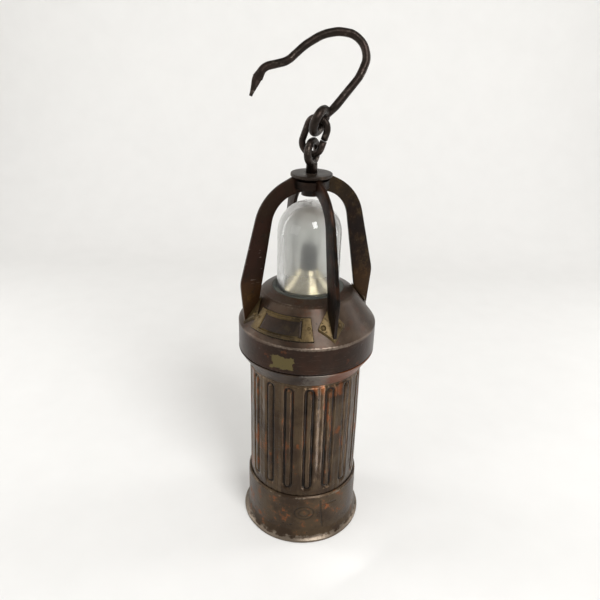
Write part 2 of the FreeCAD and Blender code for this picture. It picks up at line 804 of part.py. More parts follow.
def reflector():
    """The spun tin cone round the lamp holder, on a flange under the glass."""
    skirt = S.glass_radius - S.glass_wall - S.turn_gap
    sheet = S.reflector_sheet
    skirt_top = FLANGE_BASE + S.reflector_skirt
    cone_top = skirt_top + S.reflector_cone
    neck = S.holder_radius + S.sheet_gap
    return turned(
        "reflector",
        [
            (skirt - sheet, FLANGE_BASE - sheet),
            (S.clamp_bore - S.sheet_gap, FLANGE_BASE - sheet),
            (S.clamp_bore - S.sheet_gap, FLANGE_BASE),
            (skirt, FLANGE_BASE),
            (skirt, skirt_top),
            (neck + sheet, cone_top),
            (neck, cone_top),
            (skirt - sheet, skirt_top),
        ],
    )


def lamp_holder():
    """The brass tube that carries the bulb, on a foot screwed to the contact plate."""
    return turned(
        "lamp_holder",
        [
            (HOLDER_BORE, PLATE_TOP),
            (S.holder_foot, PLATE_TOP),
            (S.holder_foot, PLATE_TOP + S.flange_height / 2),
            (S.holder_radius, PLATE_TOP + S.flange_height / 2),
            (S.holder_radius, HOLDER_TOP),
            (HOLDER_BORE, HOLDER_TOP),
        ],
    )


def bulb():
    """The bulb's envelope, its cap, its filament and the contact below it."""
    cap_base = HOLDER_TOP - 14
    cap_top = HOLDER_TOP - 2
    skin = S.bulb_skin
    middle = BULB_MIDDLE
    outer = doc.addObject("Part::Sphere", "Globe")
    bind(outer, Radius=S.bulb_radius)
    place(outer, z=middle)
    inner = doc.addObject("Part::Sphere", "Globe")
    bind(inner, Radius=S.bulb_radius - skin)
    place(inner, z=middle)
    solid = fused("globe", [outer, cylinder("neck", S.bulb_neck, cap_top, middle)])
    hollow = fused("hollow", [inner, cylinder("neck", S.bulb_neck - skin, cap_top + skin, middle)])
    envelope = cut("bulb_glass", solid, hollow)
    cap = cylinder("bulb_cap", HOLDER_BORE - S.sheet_gap, cap_base, cap_top)
    half = S.bulb_neck / 3
    posts = [cylinder("post", 0.3, cap_top + skin, middle, side * half) for side in (-1, 1)]
    bar = doc.addObject("Part::Cylinder", "Bar")
    bind(bar, Radius=0.35, Height=half * 2 + 1)
    bar.Placement = Placement(Vector(0, 0, 0), Rotation(Vector(0, 1, 0), 90))
    bar.setExpression("Placement.Base.x", (-half - 0.5).text)
    bar.setExpression("Placement.Base.z", middle.text)
    filament = fused("filament", posts + [bar])
    contact = cylinder("bulb_contact", HOLDER_BORE - 1, cap_base - 4, cap_base)
    return [envelope, cap, filament, contact]


def contact_plate():
    """The fibre plate with its pillars, screws and two contact springs."""
    rim_base = (S.plate_radius, PLATE_BASE)
    rim_top = (S.plate_radius, PLATE_TOP)
    plate = turned("contact_plate", [(0, PLATE_BASE), rim_base, rim_top, (0, PLATE_TOP)])
    holes = []
    pillars = []
    screws = []
    for _, x, y in round_the_axis(3, 30, S.pillar_reach):
        shank = S.pillar_radius / 2
        blank = cylinder("pillar_blank", S.pillar_radius, PLATE_TOP, BOSS_BASE, x, y)
        bore = cylinder("pillar_bore", shank + S.sheet_gap, PLATE_TOP - 1, PLATE_TOP + 6, x, y)
        pillars.append(cut("pillar", blank, bore))
        holes.append(cylinder("screw_hole", shank + S.sheet_gap, PLATE_BASE - 1, PLATE_TOP + 1, x, y))
        head = cylinder("screw_head", S.pillar_radius, PLATE_BASE - 1.4, PLATE_BASE, x, y)
        screw_shank = cylinder("screw_shank", shank, PLATE_BASE - 1, PLATE_TOP + 5, x, y)
        screws.append(fused("screw", [head, screw_shank]))
    plate.Label = "plate_blank"
    drilled = cut("contact_plate", plate, grouped("screw_holes", holes))
    springs = [contact_spring("centre_contact", -1), contact_spring("side_contact", S.side_post_reach)]
    return [drilled, grouped("plate_pillars", pillars), grouped("plate_screws", screws)] + springs


def contact_spring(label, reach):
    """A bent strip under the plate that reaches down to just above a terminal."""
    foot = POST_TOP + S.turn_gap
    sheet = S.leaf_sheet
    body = new_body(label)
    sketch = sketch_on(body, "XZ_Plane")
    tail = reach - 9
    outline(
        sketch,
        [
            (reach + 2, foot),
            (reach + 2, foot + sheet),
            (reach - 2, foot + sheet),
            (tail, PLATE_BASE - sheet),
            (tail + 5, PLATE_BASE - sheet),
            (tail + 5, PLATE_BASE),
            (tail - 1, PLATE_BASE),
            (reach - 3, foot),
        ],
    )
    pad(body, sketch, S.leaf_width, both_ways=True)
    return body


# ---------------------------------------------------------------- guard and plates


def guard_arm(number, angle):
    """A flat bar on edge, from the hub out over the glass and down to its saddle."""
    inner_bend = (S.glass_radius + S.arm_standoff, GLASS_TOP + S.arm_rise)
    outer_bend = (inner_bend[0] + S.arm_depth, inner_bend[1] + S.arm_lift)
    knee = (S.rim_radius + S.knee_reach, CONE_TOP + S.knee_rise)
    root_radius = S.hub_radius + S.sheet_gap
    corners = [
        (root_radius, HUB_BASE + 2.5),
        inner_bend,
        on_cone(S.cone_top + S.foot_inner, S.saddle_sheet + S.sheet_gap),
        on_cone(S.rim_radius - S.foot_outer, S.saddle_sheet + S.sheet_gap),
        knee,
        outer_bend,
        (S.disc_radius, HUB_TOP - S.sheet_gap),
        (root_radius, HUB_TOP - S.sheet_gap),
    ]
    body = new_body(f"guard_arm_{number}")
    sketch = sketch_on(body, "XZ_Plane")
    outline(sketch, corners)
    bar = pad(body, sketch, S.arm_sheet, both_ways=True)
    bends = [(inner_bend, S.inner_bend), (outer_bend, S.outer_bend), (knee, S.knee_bend)]
    round_corners(body, bar, bends)
    place(body, turn=angle)
    return body


def saddle(number, angle):
    """The kite-shaped sheet under a guard bar, bent to the cone."""
    sheet = new_body(f"saddle_sheet_{number}")
    low = S.rim_radius - S.saddle_base
    high = S.cone_top + S.saddle_top
    skin = S.saddle_sheet
    gap = S.sheet_gap
    section = [on_cone(high, gap), on_cone(low, gap), on_cone(low, skin), on_cone(high, skin)]
    spin(sheet, "Revolution", section, 60)
    kite = new_body(f"saddle_kite_{number}")
    sketch = sketch_on(kite, "XY_Plane", RIM_TOP - 5)
    middle = (low + high) / 2
    outline(sketch, [(high, 0), (middle, -S.saddle_half), (low, 0), (middle, S.saddle_half)])
    pad(kite, sketch, S.cone_height + 20)
    shape = doc.addObject("Part::Common", "Kite")
    shape.Base = sheet
    shape.Tool = kite
    for item in (sheet, kite):
        place(item, turn=angle)
    holes = [rivet_hole(angle + side * S.rivet_spread, RIVET_REACH) for side in (-1, 1)]
    return cut(f"guard_saddle_{number}", shape, grouped("holes", holes))


def plate_holder():
    """The riveted frame for a number plate: a window, a slot and two end tabs."""
    low = S.rim_radius - S.frame_outer
    high = S.cone_top + S.frame_inner
    gap = S.sheet_gap
    middle = (low + high) / 2
    tab = S.small_head * 1.6
    edge = S.frame_edge

    def sheet(inner, outer, under, over):
        return [on_cone(inner, under), on_cone(outer, under), on_cone(outer, over), on_cone(inner, over)]

    body = new_body("holder_blank")
    spin(body, "Revolution", sheet(middle - tab, middle + tab, gap, S.tab_sheet), 2 * S.tab_half)
    spin(body, "Revolution", sheet(high, low, gap, S.frame_sheet), 2 * S.frame_half)
    slot = S.number_sheet + 2 * gap
    spin(body, "Groove", sheet(high + edge / 2, low - edge / 2, 0, slot), 2 * S.frame_half - 2)
    spin(body, "Groove", sheet(high + edge, low - edge, 0, S.frame_sheet + 1), 2 * S.window_half)
    place(body, turn=S.holder_azimuth)
    holes = [rivet_hole(angle, RIVET_REACH) for angle in HOLDER_RIVETS]
    holder = cut("plate_holder", body, grouped("holes", holes))
    plate = new_body("number_plate")
    spread = edge / 2 + gap
    spin(plate, "Revolution", sheet(high + spread, low - spread, gap, gap + S.number_sheet), 2 * S.frame_half - 3)
    place(plate, turn=S.holder_azimuth)
    return [holder, plate]


# ---------------------------------------------------------------- crown and swivel


def crown():
    """Hub with a slotted flange for the bars, and the disc over it."""
    spider_top = HUB_TOP - 2
    nut_bore = S.nut_radius + S.turn_gap
    nut_roof = HUB_BASE + S.nut_height + S.turn_gap
    hub = turned(
        "hub_blank",
        [
            (SHANK_BORE, nut_roof),
            (nut_bore, nut_roof),
            (nut_bore, HUB_BASE),
            (S.hub_radius, HUB_BASE),
            (S.hub_radius, spider_top - S.spider_height),
            (S.spider_radius, spider_top - S.spider_height),
            (S.spider_radius, spider_top),
            (S.hub_radius, spider_top),
            (S.hub_radius, HUB_TOP),
            (SHANK_BORE, HUB_TOP),
        ],
    )
    width = S.arm_sheet + 2 * S.sheet_gap
    slots = []
    for angle in ARM_ANGLES:
        slot = doc.addObject("Part::Box", "Slot")
        bind(slot, Length=S.spider_radius, Width=width, Height=S.spider_height + 1)
        across = -width / 2
        x = S.hub_radius * cosine(angle) - across * sine(angle)
        y = S.hub_radius * sine(angle) + across * cosine(angle)
        place(slot, x, y, spider_top - S.spider_height - 0.5, angle)
        slots.append(slot)
    disc = turned("crown_disc", box_ring(SHANK_BORE, S.disc_radius, HUB_TOP, DISC_TOP))
    return [cut("crown_hub", hub, grouped("slots", slots)), disc]


EYE_TOP = DISC_TOP + S.turn_gap / 2 + S.eye_wire + 1 + 2 * S.eye_ring + S.eye_wire


def heading(angle, tilt=0.0):
    """A unit vector at an angle round Z and a tilt above the level."""
    level = math.cos(math.radians(tilt))
    turn = math.radians(float(angle))
    return Vector(level * math.cos(turn), level * math.sin(turn), math.sin(math.radians(tilt)))


def torus_ring(ring_radius, wire_radius, middle, normal):
    """A round ring with a given middle and normal."""
    loop = doc.addObject("Part::Torus", "Loop")
    bind(loop, Radius1=ring_radius, Radius2=wire_radius)
    loop.Placement = Placement(middle, Rotation(Vector(0, 0, 1), normal))
    return loop


def swivel_eye():
    """The eye on its shank, which turns in the hub and is held by the nut."""
    middle = Vector(0, 0, float(EYE_TOP - S.eye_ring))
    loop = torus_ring(S.eye_ring, S.eye_wire, middle, heading(S.eye_turn - 90))
    loop_base = EYE_TOP - 2 * S.eye_ring
    nut_top = HUB_BASE + S.nut_height
    shoulder = cylinder("shoulder", S.shoulder_radius, DISC_TOP + S.turn_gap / 2, loop_base)
    shank = cylinder("shank", S.shank_radius, HUB_BASE + 0.5, loop_base)
    eye = fused("swivel_eye", [loop, shoulder, shank])
    nut = turned("swivel_nut", box_ring(S.shank_radius, S.nut_radius, HUB_BASE, nut_top))
    return [eye, nut]


LINK_RISE = 2 * S.link_bend + S.link_straight - S.link_drop
LINK_LEAN = math.radians(float(S.link_lean))
SIDEWAYS = heading(S.eye_turn - 90)
UPRIGHT = Vector(0, 0, 1)
LINK_UP = UPRIGHT * math.cos(LINK_LEAN) + SIDEWAYS * math.sin(LINK_LEAN)
LINK_ACROSS = SIDEWAYS * math.cos(LINK_LEAN) - UPRIGHT * math.sin(LINK_LEAN)
LINK_TOP = Vector(0, 0, float(EYE_TOP)) + LINK_UP * float(LINK_RISE)


def chain_link():
    """The oval link, open by a narrow gap in one side, bent from round bar."""
    body = new_body("chain_link")
    half = S.link_straight / 2
    bend = S.link_bend
    gap = S.link_gap / 2
    spine = sketch_on(body, "XZ_Plane")
    first = (bend, gap)
    spots = [(first, (bend, half)), ((-bend, half), (-bend, -half)), ((bend, -half), (bend, -gap))]
    for start, finish in spots:
        spine.addGeometry(Part.LineSegment(flat(start), flat(finish)), False)
    for middle, start, finish in ((half, 0, math.pi), (-half, math.pi, 2 * math.pi)):
        circle = Part.Circle(Vector(0, float(middle), 0), Vector(0, 0, 1), float(bend))
        spine.addGeometry(Part.ArcOfCircle(circle, start, finish), False)
    for pair in ((0, 2, 3, 1), (3, 2, 1, 1), (1, 2, 4, 1), (4, 2, 2, 1)):
        spine.addConstraint(Sketcher.Constraint("Coincident", *pair))
    for edge, (start, finish) in enumerate(spots):
        tie(spine, edge, 1, start)
        tie(spine, edge, 2, finish)
    tie_one(spine, "DistanceY", 3, 3, half)
    tie_one(spine, "DistanceY", 4, 3, -half)
    section = sketch_on(body, "XY_Plane", gap)
    ring(section, bend, 0, S.link_wire)
    pipe = body.newObject("PartDesign::AdditivePipe", "Pipe")
    pipe.Profile = (section, [""])
    pipe.Spine = (spine, [""])
    middle = LINK_TOP - LINK_UP * float(half + bend)
    body.Placement = Placement(middle, Rotation(LINK_ACROSS, LINK_UP.cross(LINK_ACROSS), LINK_UP, "ZXY"))
    return body


# Route of the hook's bar in its own leaning plane: (across, up) from the link's top.
HOOK_ROUTE = [
    (7.4, 6.0),
    (22.6, 25.6),
    (26.2, 35.6),
    (24.2, 43.6),
    (18.2, 49.2),
    (9.6, 51.0),
    (-0.6, 48.9),
    (-10.6, 42.8),
    (-21.2, 32.6),
    (-28.5, 31.0),
    (-35.2, 28.9),
    (-38.9, 22.6),
]
HOOK_TIP = (-42.7, 11.8)


def rounded_route(spots):
    """Straight runs joined by tangent arcs, each as large as its two runs allow."""
    edges = []
    start = spots[0]
    for number in range(1, len(spots) - 1):
        before = spots[number] - spots[number - 1]
        after = spots[number + 1] - spots[number]
        reach = 0.45 * min(before.Length, after.Length)
        before.normalize()
        after.normalize()
        enter = spots[number] - before * reach
        leave = spots[number] + after * reach
        turn = before.getAngle(after)
        inward = (after - before).normalize()
        radius = reach / math.tan(turn / 2)
        middle = spots[number] + inward * (radius / math.cos(turn / 2))
        crest = middle - inward * radius
        edges.append(Part.LineSegment(start, enter).toShape())
        edges.append(Part.Arc(enter, crest, leave).toShape())
        start = leave
    edges.append(Part.LineSegment(start, spots[-1]).toShape())
    return Part.Wire(edges)


def hook():
    """The forged hook: an eye round the link, a bent bar and a tapered tip."""
    lean = math.radians(float(S.hook_lean))
    up = Vector(0, math.sin(lean), math.cos(lean))
    along = heading(S.eye_turn)
    ring_up = LINK_UP * math.cos(lean) + along * math.sin(lean)
    middle = LINK_TOP - ring_up * float(S.hook_slip)
    loop = torus_ring(S.hook_ring, S.hook_ring_wire, middle, LINK_ACROSS)
    ring_side = along * math.cos(lean) - LINK_UP * math.sin(lean)
    weld = math.radians(float(S.hook_weld))
    start = middle + (ring_up * math.cos(weld) + ring_side * math.sin(weld)) * float(S.hook_ring)
    spots = [start]
    spots += [LINK_TOP + Vector(across, 0, 0) + up * rise for across, rise in HOOK_ROUTE]
    route = rounded_route(spots)
    face = Part.Wire(Part.makeCircle(float(S.hook_wire), spots[0], spots[1] - spots[0]))
    bar = doc.addObject("Part::Feature", "HookBar")
    bar.Label = "hook_bar"
    bar.Shape = route.makePipeShell([face], True, False)
    tip = LINK_TOP + Vector(HOOK_TIP[0], 0, 0) + up * HOOK_TIP[1]
    toward = (tip - spots[-1]).normalize()
    taper_start = spots[-1] - toward * float(S.hook_wire) / 2
    taper = doc.addObject("Part::Cone", "Tip")
    bind(taper, Radius1=S.hook_wire - S.tip_step, Radius2=S.tip_radius)
    taper.Height = (tip - taper_start).Length
    taper.Placement = Placement(taper_start, Rotation(UPRIGHT, toward))
    return fused("hook", [loop, bar, taper])


# ---------------------------------------------------------------- build and write

nodes += [pot_shell(), foot_band(), neck_ring()]
nodes += battery()
nodes += [collar_ring()]
nodes += [radial_bar("lock_bolt", S.bolt_radius, S.thread_radius - S.bolt_bite, S.bolt_length)]
nodes += [lock_spring()]
nodes += [head_shell(), retaining_clip()]
nodes += glass_parts()
nodes += [reflector(), lamp_holder()]
nodes += bulb()
nodes += contact_plate()
nodes += [guard_arm(number, angle) for number, angle in enumerate(ARM_ANGLES, start=1)]
nodes += [saddle(number, angle) for number, angle in enumerate(ARM_ANGLES, start=1)]
saddle_rivets = [rivet(angle, RIVET_REACH, S.rivet_head, S.saddle_sheet) for angle in SADDLE_RIVETS]
nodes += [grouped("saddle_rivets", saddle_rivets)]
nodes += plate_holder()
holder_rivets = [rivet(angle, RIVET_REACH, S.small_head, S.tab_sheet) for angle in HOLDER_RIVETS]
nodes += [grouped("holder_rivets", holder_rivets)]
nodes += crown()
nodes += swivel_eye()
nodes += [chain_link(), hook()]

doc.recompute()
for item in doc.Objects:
    if "Invalid" in item.State or "Error" in item.State:
        owner = item.getParentGeoFeatureGroup()
        place_name = owner.Label if owner else "the document"
        raise SystemExit(f"{item.Label} failed in {place_name}: {item.State}")
for node in nodes:
    if node.Shape.isNull() or not node.Shape.isValid():
        raise SystemExit(f"{node.Label} has no valid shape")

os.makedirs("parts", exist_ok=True)
for node in nodes:
    node.Shape.exportStep(f"parts/{node.Label}.step")
    print(node.Label, len(node.Shape.Solids), round(node.Shape.Volume, 1))
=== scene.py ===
import json
import math

import bmesh
import bpy
import numpy as np
from mathutils import Matrix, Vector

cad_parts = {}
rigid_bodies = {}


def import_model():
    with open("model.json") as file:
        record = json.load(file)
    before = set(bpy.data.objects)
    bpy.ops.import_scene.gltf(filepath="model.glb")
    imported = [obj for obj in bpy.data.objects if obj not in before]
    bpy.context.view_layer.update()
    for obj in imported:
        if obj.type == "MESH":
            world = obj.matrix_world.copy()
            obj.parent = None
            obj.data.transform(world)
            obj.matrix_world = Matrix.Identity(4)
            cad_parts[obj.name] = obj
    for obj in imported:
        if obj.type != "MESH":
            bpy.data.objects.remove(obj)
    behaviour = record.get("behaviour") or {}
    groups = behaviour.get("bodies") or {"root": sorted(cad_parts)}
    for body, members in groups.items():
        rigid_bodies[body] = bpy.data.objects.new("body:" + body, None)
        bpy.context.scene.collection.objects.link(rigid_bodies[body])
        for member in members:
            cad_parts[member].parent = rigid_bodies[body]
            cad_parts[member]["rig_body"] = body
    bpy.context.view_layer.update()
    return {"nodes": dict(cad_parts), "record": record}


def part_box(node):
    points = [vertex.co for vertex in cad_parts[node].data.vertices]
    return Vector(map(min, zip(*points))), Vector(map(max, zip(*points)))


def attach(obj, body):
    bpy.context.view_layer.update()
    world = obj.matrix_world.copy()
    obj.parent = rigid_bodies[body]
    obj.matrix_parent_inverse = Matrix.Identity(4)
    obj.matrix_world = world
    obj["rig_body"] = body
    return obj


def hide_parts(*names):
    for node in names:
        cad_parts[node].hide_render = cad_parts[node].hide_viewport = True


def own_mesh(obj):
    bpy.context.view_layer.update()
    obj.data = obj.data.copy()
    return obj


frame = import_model()
MM = 0.001


# ---------------------------------------------------------------- shader writing


class Socket:
    """An output socket whose arithmetic adds Math nodes."""

    def __init__(self, shade, socket):
        self.shade = shade
        self.socket = socket

    def work(self, operation, first, second):
        values = {0: first, 1: second}
        return self.shade.node("ShaderNodeMath", {"operation": operation}, values)

    def __add__(self, other):
        return self.work("ADD", self, other)

    def __radd__(self, other):
        return self.work("ADD", other, self)

    def __sub__(self, other):
        return self.work("SUBTRACT", self, other)

    def __rsub__(self, other):
        return self.work("SUBTRACT", other, self)

    def __mul__(self, other):
        return self.work("MULTIPLY", self, other)

    def __rmul__(self, other):
        return self.work("MULTIPLY", other, self)


class Shade:
    """A material being written: its nodes, its coordinates and its shader."""

    def __init__(self, name):
        self.material = bpy.data.materials.new(name)
        self.material.use_nodes = True
        self.tree = self.material.node_tree
        self.tree.nodes.clear()
        self.place = self.node("ShaderNodeTexCoord", {}, {}, "Object")

    def node(self, kind, settings, values, out=0):
        """Add a node: its settings first, then the values or links of its sockets."""
        made = self.tree.nodes.new(kind)
        for name, value in settings.items():
            setattr(made, name, value)
        for key, value in values.items():
            if isinstance(value, Socket):
                self.tree.links.new(value.socket, made.inputs[key])
            else:
                made.inputs[key].default_value = value
        return Socket(self, made.outputs[out])

    def stretched(self, scale):
        """Object coordinates scaled by (x, y, z)."""
        return self.node("ShaderNodeVectorMath", {"operation": "MULTIPLY"}, {0: self.place, 1: scale})

    def noise(self, scale, detail=4.0, roughness=0.55, where=None):
        """Soft noise from 0 to 1; scale is in waves per metre."""
        values = {"Vector": where or self.place, "Scale": scale, "Detail": detail, "Roughness": roughness}
        return self.node("ShaderNodeTexNoise", {}, values)

    def step(self, value, low, high):
        """A smooth step from 0 at low to 1 at high."""
        settings = {"interpolation_type": "SMOOTHSTEP"}
        return self.node("ShaderNodeMapRange", settings, {"Value": value, "From Min": low, "From Max": high})

    def mix(self, factor, first, second):
        """Blend two colours."""
        values = {0: factor, 6: paint(first), 7: paint(second)}
        return self.node("ShaderNodeMix", {"data_type": "RGBA"}, values, 2)

    def mark(self, name):
        """A number stored on the piece's own points."""
        return self.node("ShaderNodeAttribute", {"attribute_name": name}, {}, "Fac")

    def axes(self):
        """The x, y and z of a point."""
        values = {0: self.place}
        return [self.node("ShaderNodeSeparateXYZ", {}, values, axis) for axis in range(3)]

    def direction(self):
        """Angle round the lamp's axis in degrees, from -180 to 180, measured from +X."""
        x, y, _ = self.axes()
        return x.work("ARCTAN2", y, x) * math.degrees(1)

    def band(self, value, low, high, soft):
        """1 between low and high, falling to 0 over soft outside them."""
        return self.step(value, low - soft, low) * (1 - self.step(value, high, high + soft))

    def bump(self, height, distance, strength=1.0, under=None):
        """A normal from a height of 0 to 1 that stands for a distance in metres."""
        values = {"Height": height, "Distance": distance, "Strength": strength}
        if under is not None:
            values["Normal"] = under
        return self.node("ShaderNodeBump", {}, values)

    def finish(self, **sockets):
        """Close the material with a Principled shader; names use _ for a space."""
        values = {name.replace("_", " "): value for name, value in sockets.items()}
        if not isinstance(values["Base Color"], Socket):
            values["Base Color"] = paint(values["Base Color"])
        shader = self.node("ShaderNodeBsdfPrincipled", {}, values)
        output = self.tree.nodes.new("ShaderNodeOutputMaterial")
        self.tree.links.new(shader.socket, output.inputs["Surface"])
        return self.material


def paint(colour):
    """A colour with its alpha, or a link as it is."""
    return colour if isinstance(colour, Socket) else (*colour, 1.0)


# ---------------------------------------------------------------- colours

NEAR_BLACK = (0.004, 0.003, 0.002)
BLACK_BROWN = (0.010, 0.006, 0.005)
# Near black: soot, pits and dark spots, and also painted shade in grooves, seams, slots and recesses.
SOOT_AND_SHADE = (0.006, 0.005, 0.004)
DARK_BROWN = (0.018, 0.009, 0.005)
CHOCOLATE = (0.030, 0.013, 0.007)
OXBLOOD = (0.024, 0.010, 0.006)
BRONZE = (0.066, 0.043, 0.023)
UMBER = (0.034, 0.020, 0.011)
RUST = (0.210, 0.055, 0.010)
OCHRE = (0.080, 0.038, 0.010)
OLIVE_PAINT = (0.082, 0.062, 0.017)
GREY_WORN = (0.190, 0.155, 0.120)
STEEL = (0.480, 0.450, 0.410)
OLD_BRASS = (0.095, 0.064, 0.026)
DULL_BRASS = (0.036, 0.024, 0.011)
BRIGHT_BRASS = (0.520, 0.400, 0.190)
TIN = (0.780, 0.680, 0.470)
IRON = (0.016, 0.011, 0.008)
IRON_LIGHT = (0.085, 0.068, 0.055)
DUST = (0.130, 0.100, 0.075)


def aged_metal(name, dark, middle, light, metallic=0.55, rough=(0.28, 0.55), coat=0.0, pits=0.00012):
    """Old metal: clouded colour, vertical streaks, light scuffs and pits; worn bright where the piece's wear mark is
    high, and darkened with painted shade where its mark for recesses is high."""
    shade = Shade(name)
    cloud = shade.noise(55.0, 6.0, 0.62)
    grain = shade.noise(620.0, 3.0, 0.6)
    streak = shade.noise(150.0, 4.0, 0.6, shade.stretched((1.0, 1.0, 0.13)))
    colour = shade.mix(shade.step(cloud, 0.38, 0.62), dark, middle)
    colour = shade.mix(shade.step(streak, 0.52, 0.70) * 0.55, colour, light)
    colour = shade.mix(shade.step(grain, 0.60, 0.72) * 0.35, colour, light)
    worn = shade.step(shade.mark("wear") + (grain - 0.5) * 0.9 + (cloud - 0.5) * 0.8, 0.45, 0.75)
    hollow = shade.step(shade.mark("hollow") + (streak - 0.5) * 0.5, 0.35, 0.75)
    colour = shade.mix(worn * 0.85, colour, GREY_WORN)
    # Painted shade: recesses darken towards near black.
    colour = shade.mix(hollow * 0.95, colour, SOOT_AND_SHADE)
    pitted = shade.step(shade.noise(900.0, 2.0, 0.5), 0.63, 0.72)
    colour = shade.mix(pitted * 0.5, colour, SOOT_AND_SHADE)
    span = rough[1] - rough[0]
    normal = shade.bump(cloud * 0.5 + grain * 0.25 - pitted * 0.6, pits * 2)
    return shade.finish(
        Base_Color=colour,
        Metallic=shade.step(worn, 0.0, 1.0) * (0.95 - metallic) + metallic,
        Roughness=rough[0] + cloud * span + hollow * 0.2,
        Specular_IOR_Level=0.25,
        Coat_Weight=coat,
        Coat_Roughness=0.22,
        Normal=normal,
    )


def pot_lacquer():
    """Bronze-brown lacquer, rust-orange down the grooves, with painted shade darkening their bottoms."""
    shade = Shade("pot_lacquer")
    cloud = shade.noise(48.0, 6.0, 0.65)
    grain = shade.noise(700.0, 3.0, 0.6)
    streak = shade.noise(120.0, 5.0, 0.65, shade.stretched((1.0, 1.0, 0.10)))
    drips = shade.noise(260.0, 4.0, 0.6, shade.stretched((1.0, 1.0, 0.22)))
    hollow = shade.mark("hollow")
    colour = shade.mix(shade.step(cloud, 0.36, 0.64), UMBER, BRONZE)
    colour = shade.mix(shade.step(streak, 0.50, 0.68) * 0.6, colour, (0.120, 0.082, 0.048))
    rusty = shade.step(shade.mark("near") * 0.34 + (drips - 0.5) * 1.7 + (cloud - 0.5) * 1.5, 0.34, 0.62)
    colour = shade.mix(rusty * 0.72, colour, RUST)
    patch = shade.step(shade.noise(26.0, 5.0, 0.7), 0.56, 0.64) * shade.step(drips, 0.45, 0.6)
    colour = shade.mix(patch * 0.55, colour, RUST)
    # Painted shade: the groove bottoms darken towards near black by their depth, broken up by the drip noise.
    colour = shade.mix(shade.step(hollow + (drips - 0.5) * 1.5, 0.42, 1.05) * 0.94, colour, SOOT_AND_SHADE)
    spots = shade.step(shade.noise(430.0, 3.0, 0.7), 0.62, 0.70)
    colour = shade.mix(spots * 0.7, colour, (0.020, 0.012, 0.009))
    worn = shade.step(shade.mark("wear") + (grain - 0.5) * 0.8, 0.55, 0.85)
    colour = shade.mix(worn * 0.7, colour, GREY_WORN)
    ripples = shade.noise(62.0, 3.0, 0.6, shade.stretched((1.0, 1.0, 0.45)))
    normal = shade.bump(ripples, 0.0022)
    normal = shade.bump(cloud * 0.5 + streak * 0.25 + grain * 0.10 - spots * 0.35, 0.0005, 1.0, normal)
    return shade.finish(
        Base_Color=colour,
        Metallic=0.80 - rusty * 0.45,
        Specular_IOR_Level=0.25,
        Roughness=0.24 + cloud * 0.14 + rusty * 0.25 + spots * 0.15,
        Coat_Weight=0.12,
        Coat_Roughness=0.12,
        Normal=normal,
    )


def band_lacquer():
    """The foot band: brown lacquer, worn bare in patches low on the front."""
    shade = Shade("band_lacquer")
    cloud = shade.noise(60.0, 6.0, 0.65)
    grain = shade.noise(650.0, 4.0, 0.65)
    blotch = shade.noise(120.0, 5.0, 0.7)
    _, _, height = shade.axes()
    colour = shade.mix(shade.step(cloud, 0.38, 0.62), UMBER, BRONZE)
    rusty = shade.step(blotch, 0.56, 0.68)
    colour = shade.mix(rusty * 0.70, colour, RUST)
    low = 1 - shade.step(height, 0.002, 0.020)
    bare = shade.step(shade.mark("wear") + low * 0.30 + (blotch - 0.5) * 1.5 + (grain - 0.5) * 0.5, 0.50, 0.72)
    colour = shade.mix(bare * 0.75, colour, GREY_WORN)
    spots = shade.step(shade.noise(380.0, 3.0, 0.7), 0.61, 0.70)
    colour = shade.mix(spots * 0.65, colour, SOOT_AND_SHADE)
    # Painted shade in the seam, the line round the band and the stamp's rings.
    colour = shade.mix(shade.mark("hollow") * 0.75, colour, SOOT_AND_SHADE)
    normal = shade.bump(cloud * 0.7 + grain * 0.12 - spots * 0.35, 0.0005)
    return shade.finish(
        Base_Color=colour,
        Metallic=0.70 + bare * 0.25 - rusty * 0.3,
        Specular_IOR_Level=0.25,
        Roughness=0.30 + cloud * 0.18 + rusty * 0.2,
        Coat_Weight=0.08,
        Coat_Roughness=0.2,
        Normal=normal,
    )


